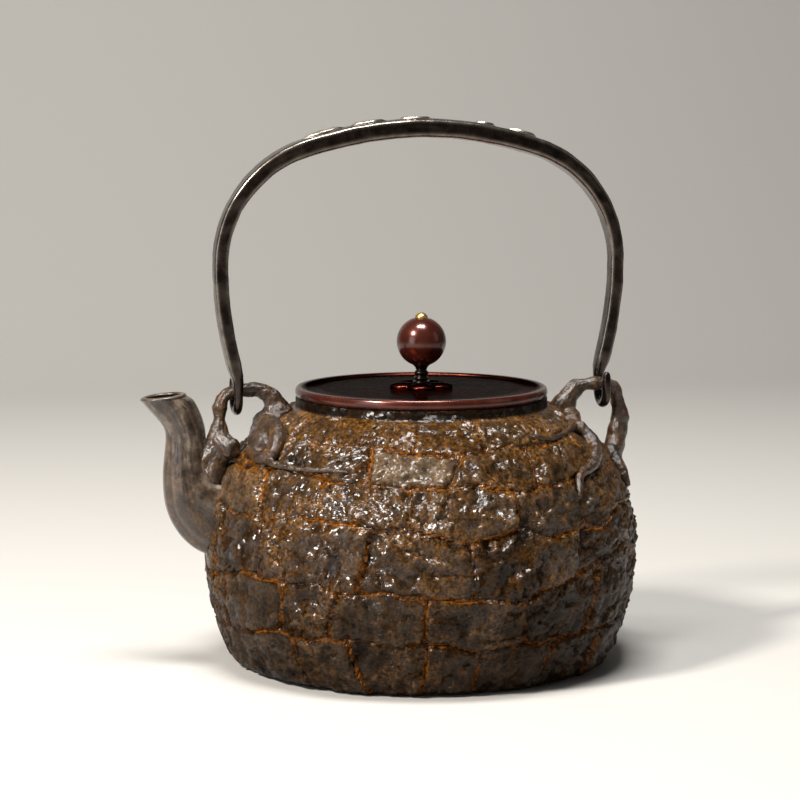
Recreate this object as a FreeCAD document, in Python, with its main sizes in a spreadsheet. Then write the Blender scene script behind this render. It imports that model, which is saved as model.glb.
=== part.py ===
import FreeCAD, Part
import math
import os
import re

import Sketcher
from FreeCAD import Placement, Rotation, Vector

# A cast iron kettle for tea: stone-like body, root spout, branch ears, forged bow handle and a lid
# with a ball knob. The origin is the centre of the base, Z is up, the spout points along -X and the
# handle stands over the X axis. Sizes are millimetres and degrees.

SIZES = {
    # body casting
    "belly_radius": 88,
    "belly_height": 48,
    "foot_radius": 76,
    "foot_round": 4,
    "neck_radius": 51.5,
    "neck_height": 3.5,
    "mouth_height": 107,
    "mouth_radius": 44,
    "casting_wall": 3.6,
    # stones of the body and the joints between them
    "stone_crown": 0.3,
    "joint_half": 2.2,
    "joint_depth": 2,
    "neck_ledge": 1,
    "joint_facet": 14,
    # base let into the foot from below
    "base_inset": 8,
    "base_ledge": 3,
    "base_step": 2.2,
    "base_thickness": 4,
    "fit_gap": 0.1,
    # spout
    "spout_root_rise": 13,
    "spout_root_half": 17,
    "spout_root_side": 12.5,
    "spout_stand_off": 7.6,
    "spout_waist_half": 8.4,
    "spout_overhang": 8.7,
    "spout_lip_rise": 1.2,
    "spout_lip_half": 9.4,
    "spout_wall": 2.6,
    # ears
    "ear_gap": 8.5,
    "ear_loop_width": 23,
    "ear_bar_rise": 3.5,
    "ear_bar_radius": 3.3,
    "ear_foot_radius": 4.4,
    "ear_bend": 5.2,
    "root_radius": 3.2,
    "root_spread_angle": 30,
    # bow handle with its hooks
    "handle_rise": 108.2,
    "handle_bulge": 10,
    "handle_drop": 57.7,
    "handle_corner_share": 0.9,
    "handle_top_thickness": 8,
    "handle_side_thickness": 6,
    "handle_top_width": 13.5,
    "handle_leg_width": 8,
    "handle_edge_round": 1.8,
    "leg_end_rise": 9.5,
    "leg_half": 3,
    "hook_seat": 15,
    "hook_radius": 5.6,
    "hook_wire_radius": 1.8,
    "hook_drop": 2.5,
    "hook_neck_rise": 4,
    "hook_tip_rise": 8,
    # raised patches on the bow
    "inlay_height": 0.7,
    "inlay_length": 17,
    "inlay_width": 8.4,
    # lid
    "lid_inset": 0.5,
    "lid_thickness": 4,
    "lid_bead": 2.3,
    "lid_top_sink": 0.7,
    "lid_plate_thickness": 2.4,
    "flange_depth": 8,
    "flange_wall": 2.6,
    "flange_play": 0.6,
    # knob
    "petal_radius": 5.6,
    "petal_pitch": 7.4,
    "petal_count": 5,
    "petal_turn_angle": -100,
    "petal_thickness": 2.4,
    "washer_thickness": 1.5,
    "pin_radius": 2,
    "pin_collar_radius": 3.4,
    "pin_collar_height": 1.2,
    "pin_bead_radius": 2.9,
    "pin_bead_pitch": 2.2,
    "ball_radius": 10,
    "ball_rise": 18,
    "ball_flat_radius": 3.4,
    "cap_radius": 2.6,
    "cap_height": 2.4,
    "pin_tip_radius": 1.2,
    "rivet_radius": 3.2,
    "rivet_height": 1.2,
    "pin_washer_radius": 6,
    "pin_washer_thickness": 1.2,
}

doc = FreeCAD.newDocument("kettle")
sheet = doc.addObject("Spreadsheet::Sheet", "sizes")
for row, (alias, number) in enumerate(SIZES.items(), start=1):
    sheet.set(f"A{row}", alias)
    sheet.set(f"B{row}", str(number))
    sheet.setAlias(f"B{row}", alias)
doc.recompute()

ACROSS = Vector(0, 1, 0)
UP = Vector(0, 0, 1)


def bound(formula):
    """The formula with every size in it written as a cell of the sheet."""
    return re.sub(r"[a-z_]+", lambda word: f"sizes.{word[0]}" if word[0] in SIZES else word[0], formula)


def size(formula):
    """The present value of a formula of sizes."""
    return float(sheet.evalExpression(formula))


def drive(item, **formulas):
    """Bind properties of a document object to formulas of sizes."""
    for name, formula in formulas.items():
        setattr(item, name, size(formula))
        item.setExpression(name, bound(formula))


def new_sketch(body, name, plane, lift="0"):
    """A sketch on one of the body's own origin planes, lifted along the plane's normal."""
    sketch = body.newObject("Sketcher::SketchObject", name)
    origin_plane = next(item for item in body.Origin.OriginFeatures if item.Role == plane)
    sketch.AttachmentSupport = [(origin_plane, "")]
    sketch.MapMode = "FlatFace"
    sketch.AttachmentOffset = Placement(Vector(0, 0, size(lift)), Rotation())
    sketch.setExpression("AttachmentOffset.Base.z", bound(lift))
    return sketch


def pin_down(sketch, geometry, point, axis, formula):
    """Hold one coordinate of a point to a formula of sizes."""
    value = size(formula)
    if abs(value) < 1e-9:
        sketch.addConstraint(Sketcher.Constraint("PointOnObject", geometry, point, -2 if axis == "X" else -1))
        return
    number = sketch.addConstraint(Sketcher.Constraint(f"Distance{axis}", -1, 1, geometry, point, value))
    sketch.setExpression(f"Constraints[{number}]", bound(formula))


def outline(sketch, corners, arcs=()):
    """Draw a closed outline through corners, each a pair of formulas.

    arcs maps a side's number to the axis and formula of its centre's known coordinate; that side is
    the shorter arc about the centre. The other sides are straight.
    """
    arcs = dict(arcs)
    places = [Vector(size(x), size(y), 0) for x, y in corners]
    ends = []
    for side, start in enumerate(places):
        finish = places[(side + 1) % len(places)]
        if side not in arcs:
            ends.append((sketch.addGeometry(Part.LineSegment(start, finish)), 1, 2))
            continue
        axis, formula = arcs[side]
        middle = (start + finish) * 0.5
        chord = finish - start
        known = size(formula)
        if axis == "X":
            centre = Vector(known, middle.y - (known - middle.x) * chord.x / chord.y, 0)
        else:
            centre = Vector(middle.x - (known - middle.y) * chord.y / chord.x, known, 0)
        turns_left = (start - centre).cross(finish - centre).z > 0
        first, last = (start, finish) if turns_left else (finish, start)
        angles = [math.atan2(place.y - centre.y, place.x - centre.x) for place in (first, last)]
        circle = Part.Circle(centre, UP, (start - centre).Length)
        geometry = sketch.addGeometry(Part.ArcOfCircle(circle, *angles))
        ends.append((geometry, 1, 2) if turns_left else (geometry, 2, 1))
    for side, (geometry, _, last) in enumerate(ends):
        follower, first, _ = ends[(side + 1) % len(ends)]
        sketch.addConstraint(Sketcher.Constraint("Coincident", geometry, last, follower, first))
    for (geometry, first, _), corner in zip(ends, corners):
        for axis, formula in zip("XY", corner):
            pin_down(sketch, geometry, first, axis, formula)
    for side, (axis, formula) in arcs.items():
        pin_down(sketch, ends[side][0], 3, axis, formula)


def ring_sketch(sketch, x, y, radius):
    """Draw one circle whose centre and radius are formulas of sizes."""
    circle = sketch.addGeometry(Part.Circle(Vector(size(x), size(y), 0), UP, size(radius)))
    number = sketch.addConstraint(Sketcher.Constraint("Radius", circle, size(radius)))
    sketch.setExpression(f"Constraints[{number}]", bound(radius))
    pin_down(sketch, circle, 3, "X", x)
    pin_down(sketch, circle, 3, "Y", y)


def turned(name, corners, arcs=()):
    """A body turned about Z from a half profile of (radius, height) corners."""
    body = doc.addObject("PartDesign::Body", name)
    sketch = new_sketch(body, f"{name}_profile", "XZ_Plane")
    outline(sketch, corners, arcs)
    turn = body.newObject("PartDesign::Revolution", f"{name}_turn")
    turn.Profile = sketch
    turn.ReferenceAxis = (sketch, ["V_Axis"])
    turn.Angle = 360
    sketch.Visibility = False
    return body


def cut(name, base, *tools):
    """What is left of base without the tools."""
    for number, tool in enumerate(tools, start=1):
        result = doc.addObject("Part::Cut", name if number == len(tools) else f"{name}_cut_{number}")
        result.Base = base
        result.Tool = tool
        base = result
    return base


def solid(name, shape):
    """A document object that holds a shape built from sections."""
    feature = doc.addObject("Part::Feature", name)
    feature.Shape = shape
    return feature


def loft(stations, level=ACROSS):
    """A solid through oval rings, each a centre, the direction of its axis and two half widths.

    The second half width lies along level, as near as the ring's axis lets it, and the first one at
    right angles to that.
    """
    wires = []
    for centre, direction, half, side in stations:
        across = level - direction * direction.dot(level)
        across.normalize()
        lean = across.cross(direction)
        oval = Part.Ellipse(Vector(), max(half, side), min(half, side) - 1e-4).toShape()
        facing = Rotation(lean, across, direction, "ZXY")
        if side > half:
            facing = facing * Rotation(UP, 90)
        oval.Placement = Placement(centre, facing)
        wires.append(Part.Wire(oval))
    faces = [Part.Face(wires[0]), Part.Face(wires[-1])]
    for lower, upper in zip(wires, wires[1:]):
        faces.append(Part.makeRuledSurface(lower.Edges[0], upper.Edges[0]))
    skin = Part.Shell(faces)
    skin.sewShape()
    form = Part.Solid(skin.Shells[0])
    form.fix(1e-6, 1e-6, 1e-6)
    return form


def along(points, *tables, steps=3):
    """Walk a smooth path through points: the place, the path's direction and each table's value there."""
    path = Part.BSplineCurve()
    path.interpolate(points)
    marks = [path.parameter(point) for point in points]
    for index in range(len(points) - 1):
        for step in range(steps + (index == len(points) - 2)):
            share = step / steps
            mark = marks[index] + (marks[index + 1] - marks[index]) * share
            values = [table[index] + (table[index + 1] - table[index]) * share for table in tables]
            yield path.value(mark), path.tangent(mark)[0], *values


def limb(points, radii, level=ACROSS):
    """A round limb along a smooth path through points, as thick at each point as radii says."""
    return loft([(*place, place[-1]) for place in along(points, radii)], level)


# Places that several pieces share, as formulas of sizes.
shoulder_height = "(mouth_height - neck_height)"
base_radius = "(foot_radius - base_inset)"
spout_stand = "(belly_radius + spout_stand_off)"
spout_root_height = "(belly_height + spout_root_rise)"
spout_lip_height = "(mouth_height + spout_lip_rise)"
ear_inner = "(neck_radius + ear_gap)"
ear_outer = f"({ear_inner} + ear_loop_width)"
bar_height = "(mouth_height + ear_bar_rise)"
hook_pitch = f"({ear_inner} + hook_seat)"
handle_top = f"({bar_height} + handle_rise)"
handle_spread = f"({hook_pitch} + handle_bulge)"
leg_end_height = f"({bar_height} + leg_end_rise)"
hook_neck_height = f"({bar_height} + hook_neck_rise)"
lid_radius = "(neck_radius - lid_inset)"
lid_top = "(mouth_height + lid_thickness)"
ball_height = f"({lid_top} + ball_rise)"

# Body casting: a wall of rough stone slabs round a turned cavity, about the same two arc centres.
flank_centre = ("belly_radius - ((belly_radius - foot_radius)^2 + belly_height^2)"
                " / (2 * (belly_radius - foot_radius))")
crown_centre = (f"(belly_radius^2 - neck_radius^2 - ({shoulder_height} - belly_height)^2)"
                " / (2 * (belly_radius - neck_radius))")
flank_bore = f"({flank_centre} + sqrt((belly_radius - casting_wall - ({flank_centre}))^2" \
             " - (belly_height - base_thickness)^2))"
crown_bore = f"(belly_height + sqrt((belly_radius - casting_wall - ({crown_centre}))^2" \
             f" - (mouth_radius - ({crown_centre}))^2))"

# Joints of the stone wall: angles from the front in degrees, the spout's side negative, and heights in
# hundredths of the shoulder's height. Each level joint is a line of (angle, height) points; round the
# back, between the last point and the first, it runs on at its mean height. The foot and the neck
# close the wall.
LEVEL_JOINTS = [
    [(-85, 19), (-62, 21), (-51, 23), (-42, 20), (-34, 22), (-16, 21), (-8, 22), (8, 18), (24, 19), (44, 21)],
    [(-82, 36), (-62, 43), (-48, 42), (-38, 43), (-31, 41), (-20, 41), (-10, 38), (18, 38), (38, 45),
     (56, 53)],
    [(-78, 65), (-57, 64), (-44, 67), (-36, 66), (-13, 64), (1, 59), (17, 63), (24, 60), (47, 60), (58, 66)],
    [(-76, 80), (-60, 82), (-47, 83), (-36, 80), (-10, 79), (6, 79), (17, 77), (33, 78), (50, 80), (64, 79)],
    [(-76, 92), (-60, 93), (-42, 92), (-22, 92), (3, 90), (20, 91), (34, 91), (52, 93), (66, 92)],
]
# Upright joints, course by course from the foot: the angle at the course's top and at its bottom.
UPRIGHT_JOINTS = [
    [(-70, -72), (-47, -44), (-30, -25), (-8, -10), (7, 5), (28, 27), (47, 46)],
    [(-72, -74), (-48, -51), (-31, -35), (-8, -10), (18, 18), (42, 40)],
    [(-80, -82), (-56, -56), (-23, -26), (2, 4), (35, 33)],
    [(-62, -58), (-40, -38), (-13, -13), (17, 16), (38, 38)],
    [(-48, -50), (-27, -25), (3, -2), (27, 25), (50, 52)],
    [(-66, -64), (-36, -34), (-12, -12), (12, 12), (40, 40)],
]
# Joints round the back stand this many degrees apart, as near as equal steps allow, and corners on a
# level joint that are closer than CLOSE degrees become one.
BACK_STEP = 27
CLOSE = 2.5


def level_joint(index, angle):
    """Height of a level joint at an angle; the foot is joint 0 and the neck the last one."""
    top = size(shoulder_height)
    if index == 0 or index > len(LEVEL_JOINTS):
        return top if index else 0
    points = LEVEL_JOINTS[index - 1]
    mean = sum(height for _, height in points) / len(points)
    first, last = points[0][0], points[-1][0]
    points = points + [(last + 20, mean), (first + 340, mean), (first + 360, points[0][1])]
    turn = first + (angle - first) % 360
    for (start, low), (finish, high) in zip(points, points[1:]):
        if turn <= finish:
            return top / 100 * (low + (high - low) * (turn - start) / (finish - start))


def upright_joints(course):
    """Upright joints of a course once round, those at the front and then those round the back."""
    front = UPRIGHT_JOINTS[course]
    start, finish = front[-1][0], front[0][0] + 360
    count = round((finish - start) / BACK_STEP)
    step = (finish - start) / count
    return front + [(start + step * number, start + step * number) for number in range(1, count)]


def joint_angles(index):
    """Angles of the corners on a level joint, from all that meets it, with close ones drawn together."""
    angles = [angle for angle, _ in LEVEL_JOINTS[index - 1]] if 0 < index <= len(LEVEL_JOINTS) else []
    if index > 0:
        angles += [upper for upper, _ in upright_joints(index - 1)]
    if index <= len(LEVEL_JOINTS):
        angles += [lower for _, lower in upright_joints(index)]
    kept = []
    for angle in sorted((angle + 180) % 360 - 180 for angle in angles):
        if not kept or angle - kept[-1] > CLOSE:
            kept.append(angle)
    return kept


def stone_cells():
    """Outlines of the stones on the unrolled wall, as angles and heights; neighbours share their corners."""
    corners = [joint_angles(index) for index in range(len(LEVEL_JOINTS) + 2)]
    for course in range(len(UPRIGHT_JOINTS)):
        joints = upright_joints(course)
        for (upper, lower), (next_upper, next_lower) in zip(joints, joints[1:] + joints[:1]):
            cell = []
            for index, start, finish in ((course, lower, next_lower), (course + 1, upper, next_upper)):
                known = corners[index]
                # the corner that stands for each end, and the corners between them
                first = min(known, key=lambda angle: abs((angle - start + 180) % 360 - 180))
                last = min(known, key=lambda angle: abs((angle - finish + 180) % 360 - 180))
                span = (last - first) % 360
                between = sorted((angle - first) % 360 for angle in known)
                side = [first + turn for turn in between if turn <= span + 1e-6]
                cell.append([Vector(angle, level_joint(index, angle), 0) for angle in side])
            below, above = cell
            turns = round((below[0].x - above[0].x) / 360)
            above = [Vector(corner.x + 360 * turns, corner.y, 0) for corner in above]
            yield below + above[::-1]


def on_wall(place, depth):
    """The point of the body's side at an angle and a height, sunk by depth along the normal."""
    top = size(shoulder_height)
    angle = math.radians(place.x)
    centre = size(flank_centre if place.y < size("belly_height") else crown_centre)
    reach = size("belly_radius") - centre
    climb = math.asin((place.y - size("belly_height")) / reach)
    radius = centre + (reach - depth) * math.cos(climb)
    height = size("belly_height") + (reach - depth) * math.sin(climb)
    if depth and place.y == 0:
        radius, height = size("foot_radius - 0.5 * foot_round"), 0
    if depth and place.y == top:
        radius, height = size("neck_radius + neck_ledge"), top
    return Vector(radius * math.sin(angle), -radius * math.cos(angle), height)


def stone_wall():
    """The outer form up to the shoulder: flat-faced stones with sunk joints, closed below and above."""
    rims = {0: {}, size(shoulder_height): {}}
    arc = math.radians(1) * size("belly_radius")
    inset = size("joint_half")
    faces = []
    for cell in stone_cells():
        edge = []
        for start, finish in zip(cell, cell[1:] + cell[:1]):
            run = finish - start
            pieces = math.ceil(math.hypot(run.x * arc, run.y) / size("joint_facet"))
            edge += [start + run * (step / pieces) for step in range(pieces)]
        middle = Vector()
        for corner in edge:
            middle += corner * (1 / len(edge))
        crown = on_wall(middle, -size("stone_crown"))
        for start, finish in zip(edge, edge[1:] + edge[:1]):
            low = [on_wall(corner, size("joint_depth")) for corner in (start, finish)]
            high = []
            for corner in (start, finish):
                inward = middle - corner
                high.append(on_wall(corner + inward * (inset / math.hypot(inward.x * arc, inward.y)), 0))
            slope = [(low[0], low[1], high[1]), (low[0], high[1], high[0])]
            for triangle in [*slope, (high[0], high[1], crown)]:
                faces.append(Part.Face(Part.makePolygon([*triangle, triangle[0]])))
            if start.y == finish.y and start.y in rims:
                for point in low:
                    rims[start.y][round(math.degrees(math.atan2(point.y, point.x)), 3)] = point
    for rim in rims.values():
        ring = [rim[angle] for angle in sorted(rim)]
        faces.append(Part.Face(Part.makePolygon([*ring, ring[0]])))
    skin = Part.Shell(faces)
    skin.sewShape(1e-4)
    return Part.Solid(skin.Shells[0])


neck_form = turned(
    "neck_form",
    [("0", f"{shoulder_height} - neck_height"), ("neck_radius", f"{shoulder_height} - neck_height"),
     ("neck_radius", "mouth_height"), ("0", "mouth_height")])
doc.recompute()
casting_form = doc.addObject("Part::Fuse", "casting_form")
casting_form.Base = solid("stone_wall", stone_wall())
casting_form.Tool = neck_form

cavity = turned(
    "cavity",
    [("0", "0"), (f"{base_radius} + fit_gap", "0"), (f"{base_radius} + fit_gap", "base_step"),
     (f"{base_radius} - base_ledge + fit_gap", "base_step"),
     (f"{base_radius} - base_ledge + fit_gap", "base_thickness"), (flank_bore, "base_thickness"),
     ("belly_radius - casting_wall", "belly_height"), ("mouth_radius", crown_bore),
     ("mouth_radius", "mouth_height"), ("0", "mouth_height")],
    {5: ("Y", "belly_height"), 6: ("Y", "belly_height")})

base_plate = turned(
    "base_plate",
    [("0", "0"), (base_radius, "0"), (base_radius, "base_step"),
     (f"{base_radius} - base_ledge", "base_step"), (f"{base_radius} - base_ledge", "base_thickness"),
     ("0", "base_thickness")])


# Spout: ovals from inside the body wall, round the turn and up to the flared lip.
def spout_stations(thinner):
    """Rings of the spout, with thinner taken off every half width for the bore."""
    stand = size(spout_stand)
    root_height = size(spout_root_height)
    lip_height = size(spout_lip_height)
    waist = size("spout_waist_half")
    rise = lip_height - root_height
    wall_inside = size("belly_radius - casting_wall")
    rings = [
        # reach, height, lean of the ring's axis from upright, half width, half width across
        (wall_inside - 3 * size("casting_wall"), root_height - 0.02 * rise, 84,
         size("spout_root_half"), size("spout_root_side")),
        (wall_inside + 0.5 * size("casting_wall"), root_height, 76,
         size("spout_root_half") * 0.98, size("spout_root_side") * 0.96),
        (stand - 0.25 * waist, root_height + 0.14 * rise, 44, waist * 1.56, waist * 1.32),
        (stand, root_height + 0.36 * rise, 10, waist * 1.2, waist * 1.12),
        (stand, root_height + 0.58 * rise, -2, waist * 1.02, waist),
        (stand + 0.06 * waist, root_height + 0.74 * rise, 6, waist, waist * 0.98),
        (stand + 0.4 * waist, root_height + 0.88 * rise, 24, waist * 1.01, waist * 0.98),
        (stand + size("spout_overhang"), lip_height, 6, size("spout_lip_half"), waist * 1.04),
    ]
    stations = []
    centres = [Vector(-reach, 0, height) for reach, height, *_ in rings]
    for centre, _, lean, half, side in along(centres, *list(zip(*rings))[2:]):
        angle = math.radians(lean)
        axis = Vector(-math.sin(angle), 0, math.cos(angle))
        stations.append((centre, axis, half - thinner, side - thinner))
    return stations


def spout_bore_shape():
    """The way through the spout, run past the lip and into the cavity."""
    stations = spout_stations(size("spout_wall"))
    root, lip = stations[0], stations[-1]
    stations[0] = (root[0], root[1], root[2] * 0.8, root[3] * 0.8)
    beyond = lip[0] + lip[1] * size("spout_wall")
    return loft(stations + [(beyond, lip[1], lip[2] * 1.12, lip[3] * 1.12)])


spout_form = solid("spout_form", loft(spout_stations(0)))
spout_bore = solid("spout_bore", spout_bore_shape())
spout = cut("spout", spout_form, spout_bore, casting_form)
kettle_shell = cut("kettle_shell", casting_form, cavity, spout_bore)


# Ears: a looped limb over the shoulder, with roots that hug the casting.
def on_casting(side, turn, climb, lift):
    """A point over the crown of the casting.

    turn is in degrees from the ear's own side towards the front, climb in degrees up from the belly
    about the crown's arc, and lift is the distance out from the surface.
    """
    arc = size(f"belly_radius - {crown_centre}") + lift
    radius = size(crown_centre) + arc * math.cos(math.radians(climb))
    height = size("belly_height") + arc * math.sin(math.radians(climb))
    angle = math.radians(turn)
    return Vector(side * radius * math.cos(angle), -radius * math.sin(angle), height)


def climb_at(reach):
    """The climb at which the crown's arc is that far from the axis."""
    arc = size(f"belly_radius - {crown_centre}")
    return math.degrees(math.acos((reach - size(crown_centre)) / arc))


inner_climb = climb_at(size(ear_inner))


def shoulder_root(side, stops):
    """A root that thins out along stops, each a turn as a share of the roots' spread and a climb as a
    share of the inner limb's."""
    root_radius = size("root_radius")
    spread = size("root_spread_angle")
    points = [on_casting(side, turn * spread, climb * inner_climb, 0.2 * root_radius) for turn, climb in stops]
    girths = [root_radius * (1.1 - 0.6 * index / (len(stops) - 1)) for index in range(len(stops))]
    return limb(points, girths, UP)


def ear_shape(side, limb_end, roots):
    """The loop on one side of the body, -1 for the spout's, with the end of its outer limb and its roots."""
    inner = size(ear_inner)
    outer = size(ear_outer)
    bar = size(bar_height)
    bend = size("ear_bend")
    bar_radius = size("ear_bar_radius")
    foot_radius = size("ear_foot_radius")
    foot = on_casting(side, 0, climb_at(inner - 0.4 * bend), -foot_radius)
    limb_top = bar - 1.15 * bend
    loop = [
        (abs(foot.x), foot.z, foot_radius * 1.15),
        (inner, bar - 1.1 * bend, foot_radius * 0.86),
        (inner + 0.35 * bend, bar - 0.36 * bend, bar_radius * 1.05),
        (inner + bend, bar, bar_radius),
        (0.5 * (inner + outer), bar, bar_radius),
        (outer - bend, bar, bar_radius),
        (outer - 0.3 * bend, bar - 0.32 * bend, bar_radius),
        (outer, limb_top, bar_radius * 1.05),
    ]
    for share, girth in ((0.31, 0.87), (0.68, 0.95), (1, 0.9)):
        reach = outer + (abs(limb_end.x) - outer) * share ** 2
        loop.append((reach, limb_top + (limb_end.z - limb_top) * share, foot_radius * girth))
    shape = limb([Vector(side * reach, 0, height) for reach, height, _ in loop], [entry[2] for entry in loop])
    for stops in roots:
        shape = shape.fuse(shoulder_root(side, stops))
    return shape


# The outer limb of the ear at the spout grows into the spout; the other one runs down the side.
spout_limb_end = Vector(-size(f"{spout_stand} - 0.45 * spout_waist_half"), 0,
                        size(f"{spout_root_height} + 0.475 * ({spout_lip_height} - {spout_root_height})"))
rear_limb_end = on_casting(1, 0, 0.43 * inner_climb, -0.5 * size("ear_foot_radius"))
spout_ear_form = solid("spout_ear_form", ear_shape(
    -1, spout_limb_end,
    [[(0.05, 1.04), (0.45, 0.87), (0.75, 0.66)],
     [(-0.05, 1.04), (-0.45, 0.87), (-0.75, 0.66)]]))
rear_ear_form = solid("rear_ear_form", ear_shape(
    1, rear_limb_end,
    [[(0.05, 1.04), (0.4, 0.9), (0.75, 0.73), (1.3, 0.56)],
     [(-0.05, 1.04), (-0.4, 0.9), (-0.8, 0.7)]]))
spout_ear = cut("spout_ear", spout_ear_form, casting_form, spout_form)
rear_ear = cut("rear_ear", rear_ear_form, casting_form)


# Bow handle: padded from its side outline, thinned towards the legs, then given its two hooks.
corner_round = "(handle_drop * handle_corner_share)"
corner_reach = f"({handle_spread} - {corner_round})"
spread_height = f"({handle_top} - handle_drop)"


def arch(drop, corner):
    """Radius of the arc over the top, tangent to the corner arcs, and the point where they meet."""
    radius = f"(({corner_reach}^2 + {drop}^2 - {corner}^2) / (2 * ({drop} - {corner})))"
    reach = f"({radius} * {corner_reach} / ({radius} - {corner}))"
    height = f"({spread_height} + {drop} - {radius} + {radius} * ({radius} - {drop}) / ({radius} - {corner}))"
    return radius, reach, height


arch_radius, arch_reach, arch_height = arch("handle_drop", corner_round)
under_drop = "(handle_drop - handle_top_thickness)"
under_corner = f"({corner_round} - handle_side_thickness)"
under_radius, under_reach, under_height = arch(under_drop, under_corner)

handle_bow = doc.addObject("PartDesign::Body", "handle_bow")
bow_sketch = new_sketch(handle_bow, "bow_outline", "XZ_Plane")
leg_middle = f"({hook_pitch} + 0.5 * leg_half)"
outer_side = [(arch_reach, arch_height), (handle_spread, spread_height),
              (f"{leg_middle} + leg_half", leg_end_height)]
inner_side = [(f"{leg_middle} - leg_half", leg_end_height),
              (f"{handle_spread} - handle_side_thickness", spread_height), (under_reach, under_height)]
right_side = outer_side + inner_side
left_side = [(f"-({x})", y) for x, y in reversed(right_side)]
bow_arcs = {0: ("Y", spread_height), 1: ("Y", spread_height), 3: ("Y", spread_height),
            4: ("Y", spread_height), 5: ("Y", f"{spread_height} + {under_drop} - {under_radius}"),
            6: ("Y", spread_height), 7: ("Y", spread_height), 9: ("Y", spread_height),
            10: ("Y", spread_height), 11: ("Y", f"{handle_top} - {arch_radius}")}
outline(bow_sketch, right_side + left_side, bow_arcs)
bow_pad = handle_bow.newObject("PartDesign::Pad", "bow_pad")
bow_pad.Profile = bow_sketch
bow_pad.Midplane = True
drive(bow_pad, Length="handle_top_width")

taper_foot = f"({leg_end_height} - 0.1 * leg_end_rise)"
taper_sketch = new_sketch(handle_bow, "bow_taper", "YZ_Plane")
for sign in ("", "-"):
    outline(taper_sketch, [
        (f"{sign}0.5 * handle_leg_width", taper_foot),
        (f"{sign}0.5 * handle_top_width", handle_top),
        (f"{sign}handle_top_width", handle_top),
        (f"{sign}handle_top_width", taper_foot)])
bow_taper = handle_bow.newObject("PartDesign::Pocket", "bow_taper_cut")
bow_taper.Profile = taper_sketch
bow_taper.Midplane = True
drive(bow_taper, Length=f"2.4 * {handle_spread}")
doc.recompute()


def long_edges(shape):
    """Names of the edges that run along the bow, between its broad faces and its flanks."""
    lowest = size(f"{leg_end_height} + 0.05 * leg_end_rise")
    names = []
    for number, edge in enumerate(shape.Edges, start=1):
        middle = edge.valueAt((edge.FirstParameter + edge.LastParameter) / 2)
        if abs(middle.y) > 0.3 * size("handle_leg_width") and middle.z > lowest:
            names.append(f"Edge{number}")
    return names


bow_round = handle_bow.newObject("PartDesign::Fillet", "bow_round")
bow_round.Base = (bow_taper, long_edges(bow_taper.Shape))
drive(bow_round, Radius="handle_edge_round")

leg_sketch = new_sketch(handle_bow, "leg_section", "XY_Plane", leg_end_height)
leg_corners = [(f"{leg_middle} {along} 0.85 * leg_half", f"{across}0.4 * handle_leg_width")
               for along, across in (("+", ""), ("-", ""), ("-", "-"), ("+", "-"))]
outline(leg_sketch, leg_corners)
neck_sketch = new_sketch(handle_bow, "hook_neck", "XY_Plane", hook_neck_height)
ring_sketch(neck_sketch, hook_pitch, "0", "hook_wire_radius")
hook_taper = handle_bow.newObject("PartDesign::AdditiveLoft", "hook_taper")
hook_taper.Profile = leg_sketch
hook_taper.Sections = [neck_sketch]

hook_path = new_sketch(handle_bow, "hook_path", "YZ_Plane", hook_pitch)
pivot_height = f"({bar_height} - hook_drop)"
shank_top = Vector(0, size(hook_neck_height), 0)
shank_foot = Vector(0, size(pivot_height), 0)
bend_centre = Vector(-size("hook_radius"), size(pivot_height), 0)
bend_end = Vector(-2 * size("hook_radius"), size(pivot_height), 0)
tip = bend_end + Vector(0, size("hook_tip_rise"), 0)
shank = hook_path.addGeometry(Part.LineSegment(shank_top, shank_foot))
bend = hook_path.addGeometry(
    Part.ArcOfCircle(Part.Circle(bend_centre, UP, size("hook_radius")), math.pi, 2 * math.pi))
rising = hook_path.addGeometry(Part.LineSegment(bend_end, tip))
hook_path.addConstraint(Sketcher.Constraint("Coincident", shank, 2, bend, 2))
hook_path.addConstraint(Sketcher.Constraint("Coincident", bend, 1, rising, 1))
for geometry, point, x, y in (
        (shank, 1, "0", hook_neck_height), (shank, 2, "0", pivot_height),
        (rising, 1, "-2 * hook_radius", pivot_height),
        (rising, 2, "-2 * hook_radius", f"{pivot_height} + hook_tip_rise")):
    pin_down(hook_path, geometry, point, "X", x)
    pin_down(hook_path, geometry, point, "Y", y)
pin_down(hook_path, bend, 3, "Y", pivot_height)
hook_bend = handle_bow.newObject("PartDesign::AdditivePipe", "hook_bend")
hook_bend.Profile = neck_sketch
hook_bend.Spine = hook_path

both_hooks = handle_bow.newObject("PartDesign::PolarPattern", "both_hooks")
both_hooks.Originals = [hook_taper, hook_bend]
both_hooks.Axis = (next(item for item in handle_bow.Origin.OriginFeatures if item.Role == "Z_Axis"), [""])
both_hooks.Angle = 360
both_hooks.Occurrences = 2
handle_bow.Tip = both_hooks

bow_turn = f"atan(hook_radius / {hook_pitch})"
bow_rotation = Rotation(UP, size(bow_turn))
handle_bow.Placement = Placement(Vector(), bow_rotation)
handle_bow.setExpression("Placement.Rotation.Angle", bound(bow_turn))

# Raised patches: leaf outlines carried up through a thin ring over the bow's top arc.
inlay_plan = doc.addObject("Sketcher::SketchObject", "inlay_plan")
inlay_plan.Placement = Placement(Vector(0, 0, size(f"{arch_height} - handle_top_thickness")), bow_rotation)
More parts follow.
